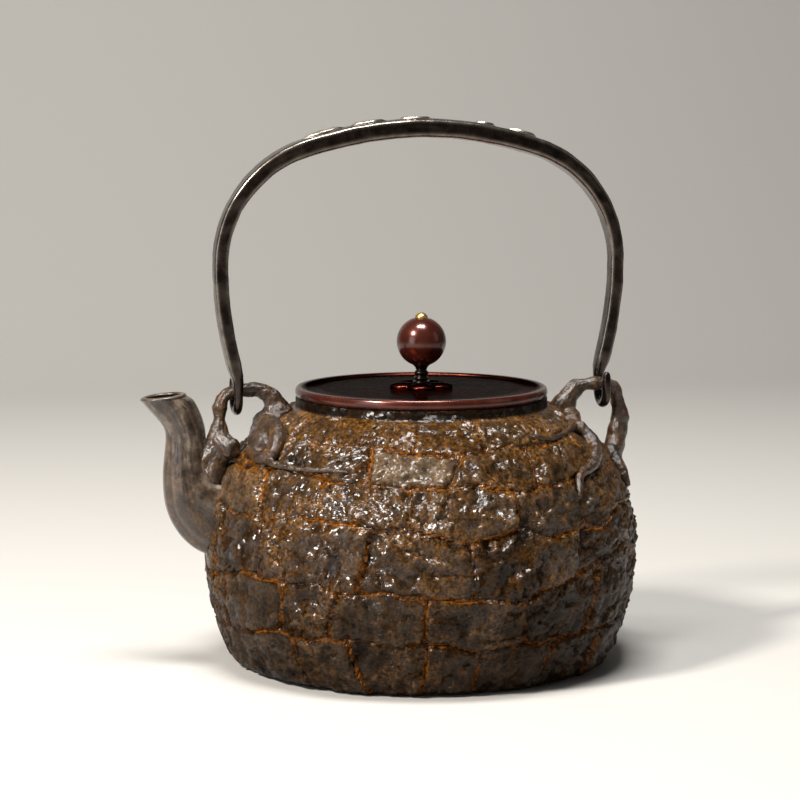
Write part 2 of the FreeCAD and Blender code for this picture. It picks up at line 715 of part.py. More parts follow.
# Each leaf's place as a share of the spread, and its share of the full length.
INLAYS = [(-0.46, 1.0), (-0.25, 0.85), (-0.03, 0.8), (0.3, 0.5), (0.48, 0.7)]
for place, share in INLAYS:
    middle = f"({place} * {handle_spread})"
    half = f"(0.5 * {share} * inlay_length)"
    centre = f"(({half}^2 - (0.5 * inlay_width)^2) / inlay_width)"
    outline(inlay_plan, [(f"{middle} - {half}", "0"), (f"{middle} + {half}", "0")],
            {0: ("Y", centre), 1: ("Y", f"-{centre}")})
inlay_stock = doc.addObject("Part::Extrusion", "inlay_stock")
inlay_stock.Base = inlay_plan
inlay_stock.DirMode = "Custom"
inlay_stock.Dir = UP
inlay_stock.Solid = True
drive(inlay_stock, LengthFwd="3 * handle_top_thickness")


def arch_roller(name, radius):
    """A cylinder lying across the bow, about the centre of the arc over its top."""
    roller = doc.addObject("Part::Cylinder", name)
    drive(roller, Radius=radius, Height="2 * handle_top_width")
    roller.Placement = Placement(
        bow_rotation.multVec(Vector(0, size("handle_top_width"), 0)) + UP * size(f"{handle_top} - {arch_radius}"),
        bow_rotation * Rotation(Vector(1, 0, 0), 90))
    return roller


inlay_ring = cut("inlay_ring", arch_roller("inlay_face", f"{arch_radius} + inlay_height"),
                 arch_roller("inlay_seat", arch_radius))
handle_inlays = doc.addObject("Part::Common", "handle_inlays")
handle_inlays.Base = inlay_ring
handle_inlays.Tool = inlay_stock

# Lid: plate with a rolled rim, and the ring under it.
field_top = f"({lid_top} - lid_top_sink)"
bead_inner = f"({lid_radius} - 2 * lid_bead)"
lid_plate = turned(
    "lid_plate",
    [("pin_radius + fit_gap", f"{field_top} - lid_plate_thickness"),
     ("mouth_radius - flange_play - flange_wall", f"{field_top} - lid_plate_thickness"),
     ("mouth_radius - flange_play - flange_wall", "mouth_height"),
     (f"{lid_radius} - 0.5 * lid_bead", "mouth_height"),
     (f"{lid_radius} - 0.5 * lid_bead", lid_top), (f"{bead_inner} + 0.5 * lid_bead", lid_top),
     (bead_inner, field_top), ("pin_radius + fit_gap", field_top)],
    {3: ("X", f"{lid_radius} - lid_bead"), 5: ("X", f"{bead_inner} + 0.6 * lid_bead")})

lid_flange = turned(
    "lid_flange",
    [("mouth_radius - flange_play - flange_wall", "mouth_height - flange_depth"),
     ("mouth_radius - flange_play", "mouth_height - flange_depth"),
     ("mouth_radius - flange_play", "mouth_height"),
     ("mouth_radius - flange_play - flange_wall", "mouth_height")])

# Knob: flower washer, turned pin, ball, cap and the washer that the pin is riveted over.
knob_washer = doc.addObject("PartDesign::Body", "knob_washer")
petal_sketch = new_sketch(knob_washer, "petal_profile", "XZ_Plane")
petal_rise = "(0.5 * petal_thickness)"
outline(petal_sketch,
        [("petal_pitch", field_top), ("petal_pitch + petal_radius", field_top),
         ("petal_pitch + petal_radius", f"{field_top} + {petal_rise}"),
         ("petal_pitch", f"{field_top} + petal_thickness")],
        {2: ("X", "petal_pitch")})
petal = knob_washer.newObject("PartDesign::Revolution", "petal")
petal.Profile = petal_sketch
petal.ReferenceAxis = (petal_sketch, ["Edge4"])
petal.Angle = 360
petals = knob_washer.newObject("PartDesign::PolarPattern", "petals")
petals.Originals = [petal]
petals.Axis = (next(item for item in knob_washer.Origin.OriginFeatures if item.Role == "Z_Axis"), [""])
petals.Angle = 360
petals.Occurrences = int(size("petal_count"))
knob_washer.Tip = petals
boss_sketch = new_sketch(knob_washer, "boss_outline", "XY_Plane", field_top)
ring_sketch(boss_sketch, "0", "0", "petal_pitch")
boss = knob_washer.newObject("PartDesign::Pad", "boss")
boss.Profile = boss_sketch
drive(boss, Length="washer_thickness")
seat_sketch = new_sketch(knob_washer, "seat_outline", "XY_Plane", f"{field_top} + washer_thickness")
ring_sketch(seat_sketch, "0", "0", "pin_collar_radius + fit_gap")
seat = knob_washer.newObject("PartDesign::Pocket", "seat")
seat.Profile = seat_sketch
seat.Reversed = True
drive(seat, Length="2 * petal_thickness")
eye_sketch = new_sketch(knob_washer, "eye_outline", "XY_Plane", field_top)
ring_sketch(eye_sketch, "0", "0", "pin_radius + fit_gap")
eye = knob_washer.newObject("PartDesign::Pocket", "eye")
eye.Profile = eye_sketch
eye.Midplane = True
drive(eye, Length="4 * petal_thickness")
knob_washer.Placement = Placement(Vector(), Rotation(UP, size("petal_turn_angle")))
knob_washer.setExpression("Placement.Rotation.Angle", bound("petal_turn_angle"))

collar_foot = f"({field_top} + washer_thickness)"
ball_foot = f"({ball_height} - sqrt(ball_radius^2 - ball_flat_radius^2))"
ball_crown = f"({ball_height} + sqrt(ball_radius^2 - ball_flat_radius^2))"
washer_top = f"({field_top} - lid_plate_thickness)"
washer_foot = f"({washer_top} - pin_washer_thickness)"
rivet_foot = f"({washer_foot} - rivet_height)"
tip_top = f"({ball_crown} + 0.6 * cap_height)"
bead_one = f"({collar_foot} + pin_collar_height)"
bead_two = f"({bead_one} + pin_bead_pitch)"
bead_end = f"({bead_two} + pin_bead_pitch)"
bead_swell = "(pin_bead_radius - pin_radius)"
bead_centre = f"pin_bead_radius - ({bead_swell}^2 + (0.5 * pin_bead_pitch)^2) / (2 * {bead_swell})"
knob_pin = turned(
    "knob_pin",
    [("0", rivet_foot), ("rivet_radius", f"{washer_foot} - 0.2 * rivet_height"), ("rivet_radius", washer_foot),
     ("pin_radius", washer_foot), ("pin_radius", collar_foot), ("pin_collar_radius", collar_foot),
     ("pin_collar_radius", bead_one), ("pin_radius", bead_one), ("pin_radius", bead_two),
     ("pin_radius", bead_end), ("pin_collar_radius", ball_foot), ("pin_radius", ball_foot),
     ("pin_radius", f"{ball_crown}"), ("pin_tip_radius", f"{ball_crown}"), ("pin_tip_radius", tip_top),
     ("0", tip_top)],
    {0: ("X", "0"), 7: ("X", bead_centre), 8: ("X", bead_centre)})

ball = turned(
    "knob_ball",
    [("pin_radius + fit_gap", ball_foot), ("ball_flat_radius", ball_foot), ("ball_flat_radius", ball_crown),
     ("pin_radius + fit_gap", ball_crown)],
    {1: ("X", "0")})

cap = turned(
    "knob_cap",
    [("0", f"{tip_top} + fit_gap"), ("pin_tip_radius + fit_gap", f"{tip_top} + fit_gap"),
     ("pin_tip_radius + fit_gap", ball_crown), ("cap_radius", ball_crown),
     ("cap_radius", f"{ball_crown} + 0.3 * cap_height"), ("0", f"{ball_crown} + cap_height")],
    {4: ("X", "0")})

pin_washer = turned(
    "pin_washer",
    [("pin_radius + fit_gap", washer_foot), ("pin_washer_radius", washer_foot),
     ("pin_washer_radius", washer_top), ("pin_radius + fit_gap", washer_top)])

NODES = [kettle_shell, base_plate, spout, spout_ear, rear_ear, handle_bow, handle_inlays, lid_plate,
         lid_flange, knob_washer, knob_pin, ball, cap, pin_washer]

doc.recompute()
broken = [item.Name for item in doc.Objects if "Invalid" in item.State or "Error" in item.State]
if broken:
    raise RuntimeError(f"could not be built: {', '.join(broken)}")
os.makedirs("parts", exist_ok=True)
for node in NODES:
    shape = node.Shape
    if shape.isNull() or not shape.isValid() or not shape.Solids:
        raise RuntimeError(f"{node.Label} has no sound solid")
for node in NODES:
    node.Shape.exportStep(f"parts/{node.Label}.step")
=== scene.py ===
import math

import bpy
import numpy as np
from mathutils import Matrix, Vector, noise


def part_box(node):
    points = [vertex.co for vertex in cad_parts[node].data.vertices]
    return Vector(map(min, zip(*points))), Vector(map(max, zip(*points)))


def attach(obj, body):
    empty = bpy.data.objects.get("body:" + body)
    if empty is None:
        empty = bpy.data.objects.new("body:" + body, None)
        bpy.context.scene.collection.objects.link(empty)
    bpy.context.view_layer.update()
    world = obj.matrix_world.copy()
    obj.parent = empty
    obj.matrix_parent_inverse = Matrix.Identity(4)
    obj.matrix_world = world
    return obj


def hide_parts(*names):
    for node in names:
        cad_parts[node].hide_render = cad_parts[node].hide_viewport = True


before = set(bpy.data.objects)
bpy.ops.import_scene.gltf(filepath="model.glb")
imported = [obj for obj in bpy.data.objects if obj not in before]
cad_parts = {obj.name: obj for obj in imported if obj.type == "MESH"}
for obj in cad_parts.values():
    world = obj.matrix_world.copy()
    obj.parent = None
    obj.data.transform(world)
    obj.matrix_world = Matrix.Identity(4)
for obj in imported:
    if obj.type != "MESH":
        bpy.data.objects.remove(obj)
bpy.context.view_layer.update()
MM = 0.001

# Body casting. Sand-cast iron with a relief like a wall of rough stone slabs, laid in uneven courses
# over a low round body. The mould leaves every slab pitted and flaked, and the joints stay open.
body_columns = 520
body_rows = 152
belly_radius = 88
mouth_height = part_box("kettle_shell")[1].z / MM
belly_height = 48
foot_radius = 76
foot_round = 4
neck_radius = 51.5
neck_height = 3.5
mouth_radius = 44
casting_wall = 3.6
base_seat_radius = 68.1
base_ledge = 3
base_step = 2.2
base_thickness = 4
shoulder_height = mouth_height - neck_height
flank_centre = belly_radius - ((belly_radius - foot_radius) ** 2 + belly_height ** 2) / (
    2 * (belly_radius - foot_radius))
crown_centre = (belly_radius ** 2 - neck_radius ** 2 - (shoulder_height - belly_height) ** 2) / (
    2 * (belly_radius - neck_radius))
rng = np.random.default_rng(5)


def casting_radius(height, inset=0.0):
    """Radius of the plain casting at a height, about the two arcs of its side; inset is inwards."""
    centre = np.where(height < belly_height, flank_centre, crown_centre)
    reach = belly_radius - inset - centre
    return centre + np.sqrt(np.maximum(reach ** 2 - (height - belly_height) ** 2, 0))


def spaced(points, count):
    """The line through points again, as count points spaced evenly along it."""
    points = np.asarray(points, float)
    run = np.r_[0, np.cumsum(np.linalg.norm(np.diff(points, axis=0), axis=1))]
    places = np.linspace(0, run[-1], count)
    return np.stack([np.interp(places, run, column) for column in points.T], axis=1)


def lumps(points, size, octaves=4, basis="PERLIN_ORIGINAL"):
    """Fractal noise at points in mm, about -1 to 1, with lumps of about that size in mm."""
    places = (np.asarray(points, float) / size).reshape(-1, 3).tolist()
    values = [noise.fractal(place, 1.0, 2.0, octaves, noise_basis=basis) for place in places]
    return np.array(values).reshape(np.shape(points)[:-1])


def ramp(value, low, high):
    """A smooth step from 0 at low to 1 at high."""
    share = np.clip((value - low) / (high - low), 0, 1)
    return share * share * (3 - 2 * share)


def blurred(field, rows, columns):
    """The field softened by a bell curve that many cells wide each way; both ways wrap round."""
    along = np.exp(-2 * (np.pi * np.fft.fftfreq(field.shape[0])[:, None] * rows) ** 2)
    around = np.exp(-2 * (np.pi * np.fft.fftfreq(field.shape[1])[None] * columns) ** 2)
    return np.fft.ifft2(np.fft.fft2(field) * along * around).real


def quads(rows, columns, first=0, closed_rows=False):
    """Faces of a grid of points that closes round its columns, and along its rows if asked."""
    row, column = np.meshgrid(np.arange(rows if closed_rows else rows - 1), np.arange(columns), indexing="ij")
    above = (row + 1) % rows
    beside = (column + 1) % columns
    corners = [row * columns + column, row * columns + beside,
               above * columns + beside, above * columns + column]
    return first + np.stack(corners, axis=-1).reshape(-1, 4)


def piece(name, points, faces, material, body, slot, stands_for, marks=()):
    """A smooth mesh of points in mm that rides on a body; marks maps names to values at the points."""
    mesh = bpy.data.meshes.new(name)
    mesh.from_pydata((np.asarray(points).reshape(-1, 3) * MM).tolist(), [], [tuple(face) for face in faces])
    mesh.validate()
    mesh.shade_smooth()
    for mark, values in dict(marks).items():
        attribute = mesh.attributes.new(mark, "FLOAT", "POINT")
        attribute.data.foreach_set("value", np.asarray(values, np.float32).ravel())
    mesh.materials.append(material)
    made = bpy.data.objects.new(name, mesh)
    bpy.context.scene.collection.objects.link(made)
    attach(made, body)
    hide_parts(*stands_for)
    return made


def linear(colour):
    """A linear RGBA colour from an sRGB hex value."""
    parts = [int(colour[place:place + 2], 16) / 255 for place in (1, 3, 5)]
    return [part / 12.92 if part <= 0.04045 else ((part + 0.055) / 1.055) ** 2.4 for part in parts] + [1.0]


def add(material, kind, inputs=(), stops=(), **settings):
    """Add a node with its settings; inputs maps sockets to values or outputs, stops are a ramp's colours."""
    node = material.node_tree.nodes.new(kind)
    for setting, value in settings.items():
        setattr(node, setting, value)
    for socket, value in dict(inputs).items():
        if isinstance(value, bpy.types.NodeSocket):
            material.node_tree.links.new(value, node.inputs[socket])
        else:
            node.inputs[socket].default_value = value
    for index, (place, colour) in enumerate(stops):
        elements = node.color_ramp.elements
        element = elements[index] if index < 2 else elements.new(place)
        element.position = place
        element.color = linear(colour)
    return node


def new_material(name, **sockets):
    """A material and its surface shader, with the sockets that are the same all over set on it."""
    material = bpy.data.materials.new(name)
    material.use_nodes = True
    shader = material.node_tree.nodes["Principled BSDF"]
    for socket, value in sockets.items():
        shader.inputs[socket.replace("_", " ").title().replace("Ior", "IOR")].default_value = value
    return material, shader


def link_shader(material, shader, outputs):
    """Link outputs to the shader's sockets of those names."""
    for socket, output in outputs.items():
        material.node_tree.links.new(output, shader.inputs[socket])


# Joints between the stones, as in the solid: angles from the front in degrees, spout side negative, and
# heights in hundredths of the shoulder's height. Round the back a level joint runs on at its mean height.
level_joints = (
    ((-85, 19), (-62, 21), (-51, 23), (-42, 20), (-34, 22), (-16, 21), (-8, 22), (8, 18), (24, 19), (44, 21)),
    ((-82, 36), (-62, 43), (-48, 42), (-38, 43), (-31, 41), (-20, 41), (-10, 38), (18, 38), (38, 45),
     (56, 53)),
    ((-78, 65), (-57, 64), (-44, 67), (-36, 66), (-13, 64), (1, 59), (17, 63), (24, 60), (47, 60), (58, 66)),
    ((-76, 80), (-60, 82), (-47, 83), (-36, 80), (-10, 79), (6, 79), (17, 77), (33, 78), (50, 80), (64, 79)),
    ((-76, 92), (-60, 93), (-42, 92), (-22, 92), (3, 90), (20, 91), (34, 91), (52, 93), (66, 92)),
)
# Upright joints, course by course from the foot: the angle at the course's top and at its bottom.
upright_joints = (
    ((-70, -72), (-47, -44), (-30, -25), (-8, -10), (7, 5), (28, 27), (47, 46)),
    ((-72, -74), (-48, -51), (-31, -35), (-8, -10), (18, 18), (42, 40)),
    ((-80, -82), (-56, -56), (-23, -26), (2, 4), (35, 33)),
    ((-62, -58), (-40, -38), (-13, -13), (17, 16), (38, 38)),
    ((-48, -50), (-27, -25), (3, -2), (27, 25), (50, 52)),
    ((-66, -64), (-36, -34), (-12, -12), (12, 12), (40, 40)),
)
back_step = 27

outer_heights = np.linspace(0, shoulder_height, 400)
foot_share = np.clip(1 - outer_heights / foot_round, 0, 1)
outer_radii = casting_radius(outer_heights) - foot_round * (1 - np.sqrt(1 - foot_share ** 2))
outer_line = spaced(np.stack([outer_radii, outer_heights], axis=1), body_rows)
slope = np.gradient(outer_line, axis=0)
slope /= np.linalg.norm(slope, axis=1)[:, None]
outer_normal = np.stack([slope[:, 1], -slope[:, 0]], axis=1)
turn = np.linspace(0, 2 * np.pi, body_columns, endpoint=False)
around = np.stack([np.sin(turn), -np.cos(turn)], axis=1)


def wrapped(line):
    """Points of a half profile of radius and height carried round the axis, one row per point."""
    radius = line[:, 0][:, None, None] * around[None]
    height = np.broadcast_to(line[:, 1][:, None, None], radius.shape[:2] + (1,))
    return np.concatenate([radius, height], axis=2)


plain = wrapped(outer_line)
flat = plain.reshape(-1, 3)
angle = np.broadcast_to(np.degrees(turn)[None], plain.shape[:2])
height = plain[..., 2]

# Every point of the wall is given its course, its stone and its distance from the nearest joint; the joints
# waver with the noise.
long_waver = 1.5
short_waver = 0.9
waver = [long_waver * lumps(plain + offset, 19, 3) + short_waver * lumps(plain + offset, 5, 3)
         for offset in (0, 500)]
wall_angle = angle + np.degrees(waver[0] / belly_radius)
wall_height = height + waver[1] * slope[:, 1][:, None]
joint_lines = [np.zeros_like(height)]
for points in level_joints:
    first, last = points[0][0], points[-1][0]
    mean = sum(level for _, level in points) / len(points)
    points = points + ((last + 20, mean), (first + 340, mean), (first + 360, points[0][1]))
    joint_lines.append(0.01 * shoulder_height * np.interp(first + (wall_angle - first) % 360, *zip(*points)))
joint_lines.append(np.full_like(height, shoulder_height))
course = sum((wall_height > line).astype(int) for line in joint_lines[1:-1])
stone = np.zeros_like(course)
across = np.zeros_like(height)
up = np.zeros_like(height)
upright_gap = np.full_like(height, 99.0)
stone_count = 0
for number, front in enumerate(upright_joints):
    start, finish = front[-1][0], front[0][0] + 360
    back_count = round((finish - start) / back_step)
    joints = list(front)
    joints += [(start + (finish - start) * step / back_count,) * 2 for step in range(1, back_count)]
    inside_course = course == number
    low, high = joint_lines[number], joint_lines[number + 1]
    share = np.clip((wall_height - low) / (high - low), 0, 1)
    for index, (upper, lower) in enumerate(joints):
        next_upper, next_lower = joints[(index + 1) % len(joints)]
        past = (wall_angle - lower - (upper - lower) * share + 180) % 360 - 180
        span = (next_lower - lower) % 360
        upright_gap = np.where(inside_course, np.minimum(upright_gap, np.abs(past)), upright_gap)
        here = inside_course & (past % 360 < span + (next_upper - upper - next_lower + lower) * share)
        stone[here] = stone_count
        across[here] = (past % 360 - 0.5 * span)[here]
        up[here] = (wall_height - 0.5 * (low + high))[here]
        stone_count += 1
across = np.radians(across) * belly_radius
level_gap = np.min([np.abs(wall_height - line) for line in joint_lines[1:-1]], axis=0) / slope[:, 1][:, None]
upright_gap = np.radians(upright_gap) * outer_line[:, 0][:, None]
edge = -np.log(np.exp(-level_gap) + np.exp(-upright_gap))
edge = np.maximum(edge, 0)

# Each stone stands a little in or out, tilts and leans its own way.
sunk_most = -0.75
proud_most = 0.6
tilt_most = 0.05
tilt_rise = 0.8
proud = rng.uniform(sunk_most, proud_most, stone_count)
tilt = rng.uniform(-tilt_most, tilt_most, (stone_count, 2))
lean = rng.uniform(0, np.pi, stone_count)
relief = proud[stone] + np.clip(tilt[stone, 0] * across + tilt[stone, 1] * up, -tilt_rise, tilt_rise)

# Chips: facets of two sizes, each tilted its own way, with steps between them.
chips = np.zeros(len(flat))
for chip_size, chip_depth in ((9.0, 1.7), (4.2, 1.0)):
    for number, place in enumerate((flat / chip_size).tolist()):
        centre = noise.voronoi(place)[1][0]
        lie = noise.cell_vector(centre * 7.3)
        chips[number] += chip_depth * ((lie.x - 0.5) * (place[0] - centre.x)
                                       + (lie.y - 0.5) * (place[1] - centre.y)
                                       + (lie.z - 0.5) * (place[2] - centre.z))
chips = chips.reshape(height.shape)

# Flakes: shallow steps across a slab, like split slate, in some places only.
flake_pitch = 9.0
flake_way = np.cos(lean[stone]) * across * 0.5 + np.sin(lean[stone]) * up
flake_share = (flake_way + 4.0 * lumps(plain, 16, 3)) / flake_pitch
flakes = (flake_share - np.floor(flake_share)) ** 2.5
flaky = ramp(lumps(plain + 900, 30, 2), -0.2, 0.25)

# Ridges: sharp wrinkles, drawn out along each stone's own lean.
ridge_length = 15.0
ridge_width = 6.0
along_lean = np.cos(lean[stone]) * across + np.sin(lean[stone]) * up
over_lean = np.cos(lean[stone]) * up - np.sin(lean[stone]) * across
ridge_place = np.stack([along_lean / ridge_length, over_lean / ridge_width, 7.3 * stone], axis=2)
ridges = np.maximum(1 - 2.2 * np.abs(lumps(ridge_place, 1, 4)), -0.1)
crags = lumps(plain, 8, 5)
grain = lumps(plain + 300, 2.6, 3)
in_courses = 1 - ramp(height, 0.9 * shoulder_height, 0.95 * shoulder_height)
gape = (0.45 + 0.55 * ramp(lumps(plain + 700, 20, 3), -0.3, 0.3)) * in_courses
joint_half = 1.0
joint = np.exp(-(edge / joint_half) ** 2) * gape
# how far each of them stands out or cuts in, in mm
chip_rise = 0.85
flake_rise = 0.9
crag_rise = 0.3
grain_rise = 0.25
edge_round = 1.8
edge_drop = 0.45
joint_drop = 0.7
relief += (chip_rise * chips + flake_rise * flaky * (flakes - 0.3) + (ridges - 0.4) + crag_rise * crags
           + grain_rise * grain - edge_drop * (1 - ramp(edge, 0, edge_round)) * in_courses
           - joint_drop * joint)
# The relief fades out at the neck and softens at the foot.
neck_fade = 2
foot_fade_from = -2
foot_fade_to = 4
standing = 1 - ramp(height, shoulder_height - neck_fade, shoulder_height)
relief_mean = -0.6
deepest = 2.9
proudest = 0.8
relief = relief * standing * ramp(height, foot_fade_from, foot_fade_to) + relief_mean
relief = np.clip(relief, -deepest, proudest)

# Marks for the material: hollows and crests of the relief, and where ochre rust lies; the hollows carry
# painted shade.
soft = blurred(relief, 4, 4)
hollow_depth = 0.9
crest_height = 0.7
hollow = np.clip((soft - relief) / hollow_depth, 0, 1)
crest = np.clip((relief - soft) / crest_height, 0, 1)
ochre_from = 62
ochre_to = 96
ochre_joint = 2.5
ochre_patch = 26
ochre = (0.12 + 0.35 * np.exp(-edge / ochre_joint) + 0.4 * ramp(height, ochre_from, ochre_to)
         + 0.8 * lumps(plain + 1300, ochre_patch, 4))
ochre = np.clip(ochre, 0, 1)

# Some slabs are rubbed grey at random; the one at the front of the shoulder is the greyest, a painted sheen.
# The colour darkens towards the bottom.
slab_height = 0.86
slab_angle = -12
slab_sheen = 0.8
other_wear = 0.3
stone_grey_and_sheen = other_wear * rng.uniform(0, 1, stone_count) ** 2
slab_row = np.abs(outer_line[:, 1] - slab_height * shoulder_height).argmin()
slab_column = np.abs((np.degrees(turn) - slab_angle + 180) % 360 - 180).argmin()
# painted sheen: the slab at the front of the shoulder is made the greyest of all
stone_grey_and_sheen[stone[slab_row, slab_column]] = slab_sheen
grey_and_sheen = stone_grey_and_sheen[stone] * ramp(edge, 0.5, 3.0)
# darker towards the bottom: the colour darkens in patches below the middle, and the wax coat thins there
low_darkening_full = 5
low_darkening_end = 62
low_darkening_patch = 24
low_darkening = np.clip(1 - ramp(height, low_darkening_full, low_darkening_end) + 0.5 * lumps(plain + 1700, low_darkening_patch, 3), 0, 1)

outer = plain + relief[..., None] * np.concatenate(
    [outer_normal[:, 0][:, None, None] * around[None],
     np.broadcast_to(outer_normal[:, 1][:, None, None], plain.shape[:2] + (1,))], axis=2)

# The proudest crags stay within the solid's own width.
shell_low, shell_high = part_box("kettle_shell")
outer[..., 0] = np.clip(outer[..., 0], shell_low.x / MM, shell_high.x / MM)
outer[..., 1] = np.clip(outer[..., 1], shell_low.y / MM, shell_high.y / MM)

neck_inset = 0.6
neck_lift = 0.4
mouth_round = 0.5
neck_line = [(neck_radius - neck_inset, shoulder_height + neck_lift),
             (neck_radius - neck_inset, mouth_height - mouth_round),
             (neck_radius - neck_inset - mouth_round, mouth_height),
             (mouth_radius + mouth_round, mouth_height), (mouth_radius, mouth_height - mouth_round)]
crown_reach = belly_radius - casting_wall - crown_centre
bore_height = belly_height + math.sqrt(crown_reach ** 2 - (mouth_radius - crown_centre) ** 2)
inner_heights = np.linspace(bore_height, base_thickness, 18)
inner_line = [(float(casting_radius(level, casting_wall)), level) for level in inner_heights]
ledge_radius = base_seat_radius - base_ledge
foot_line = [(ledge_radius, base_thickness), (ledge_radius, base_step), (base_seat_radius, base_step),
             (base_seat_radius, 0.0)]
inside = wrapped(np.array(neck_line + inner_line + foot_line))
shell_points = np.concatenate([outer, inside])


def with_inside(field, rest=0.0):
    """A field of the outer rows, carried on over the rows of the neck and the inside."""
    return np.concatenate([field, np.full(inside.shape[:2], rest)])


# Waxed iron over rust: dark brown that glints on every chip, grey-brown where slabs are rubbed, a painted
# sheen on the front slab of the shoulder, ochre over the shoulder and thin lines of orange rust in the
# joints. The hollows carry painted shade, and the colour darkens towards the bottom.
stone_iron, stone_shader = new_material("sand_cast_iron_waxed", coat_roughness=0.22, specular_ior_level=0.03)
where = add(stone_iron, "ShaderNodeTexCoord").outputs["Object"]
hollows, crests, rusting, from_joint, gaping, low_darkening_mark, grey_and_sheen_marks = [
    add(stone_iron, "ShaderNodeAttribute", attribute_name=mark).outputs["Fac"]
    for mark in ("hollow", "crest", "ochre", "edge", "gape", "low_darkening", "grey_and_sheen")]
grit_size = 1.3
patch_size = 6
grit = add(stone_iron, "ShaderNodeTexNoise",
           {"Vector": where, "Scale": 1 / (grit_size * MM), "Detail": 6.0,
            "Roughness": 0.65}).outputs["Fac"]
patch = add(stone_iron, "ShaderNodeTexNoise",
            {"Vector": where, "Scale": 1 / (patch_size * MM), "Detail": 8.0,
             "Roughness": 0.76}).outputs["Fac"]
skin = add(stone_iron, "ShaderNodeValToRGB", {"Fac": patch},
           stops=((0.3, "#100701"), (0.72, "#573409"), (0.5, "#2b1802"))).outputs[0]
rust = add(stone_iron, "ShaderNodeValToRGB", {"Fac": grit},
           stops=((0.32, "#211304"), (0.68, "#7f5116"), (0.5, "#482d0c"))).outputs[0]
spread = add(stone_iron, "ShaderNodeMath", {0: patch, 1: rusting}, operation="MULTIPLY").outputs[0]
spread = add(stone_iron, "ShaderNodeMapRange",
             {"Value": spread, "From Min": 0.1, "From Max": 0.42}).outputs[0]
rusted = add(stone_iron, "ShaderNodeMix", {0: spread, 6: skin, 7: rust}, data_type="RGBA").outputs[2]
crest_rub = 0.12
grey_and_sheen_strength = 0.6
hollow_shade = 0.6
# crests are rubbed grey by wear; the rub mark adds random grey stones and the painted sheen of the front slab
wear_grey_and_sheen_share = add(stone_iron, "ShaderNodeMath", {0: crests, 1: crest_rub}, operation="MULTIPLY").outputs[0]
wear_grey_and_sheen_share = add(stone_iron, "ShaderNodeMath", {0: grey_and_sheen_marks, 1: grey_and_sheen_strength, 2: wear_grey_and_sheen_share},
                   operation="MULTIPLY_ADD").outputs[0]
worn_grey_and_sheen = add(stone_iron, "ShaderNodeMix", {0: wear_grey_and_sheen_share, 6: rusted, 7: linear("#75634f")},
             data_type="RGBA").outputs[2]
# painted shade: the hollows of the relief are darkened towards near black
hollow_shade_share = add(stone_iron, "ShaderNodeMath",
                 {0: hollows, 1: hollow_shade}, operation="MULTIPLY").outputs[0]
deep = add(stone_iron, "ShaderNodeMix",
           {0: hollow_shade_share, 6: worn_grey_and_sheen, 7: linear("#080301")}, data_type="RGBA").outputs[2]
# a seam is a dark line with rust along both of its lips; distances from the joint are in mm
seam_half = 0.75
seam_depth = 1.1
lip_start = 0.3
lip_half = 1.4
seam = add(stone_iron, "ShaderNodeMapRange",
           {"Value": from_joint, "From Min": 0.0, "From Max": seam_half,
            "To Min": 1.0, "To Max": 0.0}).outputs[0]
seam = add(stone_iron, "ShaderNodeMath", {0: seam, 1: gaping}, operation="MULTIPLY").outputs[0]
lips = add(stone_iron, "ShaderNodeMapRange",
           {"Value": from_joint, "From Min": lip_start, "From Max": lip_half,
            "To Min": 1.0, "To Max": 0.0}).outputs[0]
lips = add(stone_iron, "ShaderNodeMath", {0: lips, 1: grit}, operation="MULTIPLY").outputs[0]
lips = add(stone_iron, "ShaderNodeMath", {0: lips, 1: gaping}, operation="MULTIPLY").outputs[0]
lips = add(stone_iron, "ShaderNodeMapRange", {"Value": lips, "From Min": 0.2, "From Max": 0.42}).outputs[0]
lipped = add(stone_iron, "ShaderNodeMix",
             {0: lips, 6: deep, 7: linear("#955713")}, data_type="RGBA").outputs[2]
stone_colour = add(stone_iron, "ShaderNodeMix",
                   {0: seam, 6: lipped, 7: linear("#0c0502")}, data_type="RGBA").outputs[2]
# painted shade: the colour darkens in the low spots of the grit, which the bump sinks into pits
pit_shade_and_low_dark = add(stone_iron, "ShaderNodeMapRange",
           {"Value": grit, "From Min": 0.34, "From Max": 0.56, "To Min": 0.35, "To Max": 1.1}).outputs[0]
# darker towards the bottom: the colour is halved at the foot
low_darkening_factor = add(stone_iron, "ShaderNodeMapRange",
                 {"Value": low_darkening_mark, "To Min": 1.0, "To Max": 0.5}).outputs[0]
pit_shade_and_low_dark = add(stone_iron, "ShaderNodeMath", {0: pit_shade_and_low_dark, 1: low_darkening_factor}, operation="MULTIPLY").outputs[0]
stone_wax = add(stone_iron, "ShaderNodeMapRange",
                {"Value": low_darkening_mark, "To Min": 0.6, "To Max": 0.14}).outputs[0]
stone_colour = add(stone_iron, "ShaderNodeMix", {0: 1.0, 6: stone_colour, 7: pit_shade_and_low_dark}, data_type="RGBA",
                   blend_type="MULTIPLY").outputs[2]
stone_gloss = add(stone_iron, "ShaderNodeMapRange",
                  {"Value": hollows, "To Min": 0.3, "To Max": 0.6}).outputs[0]
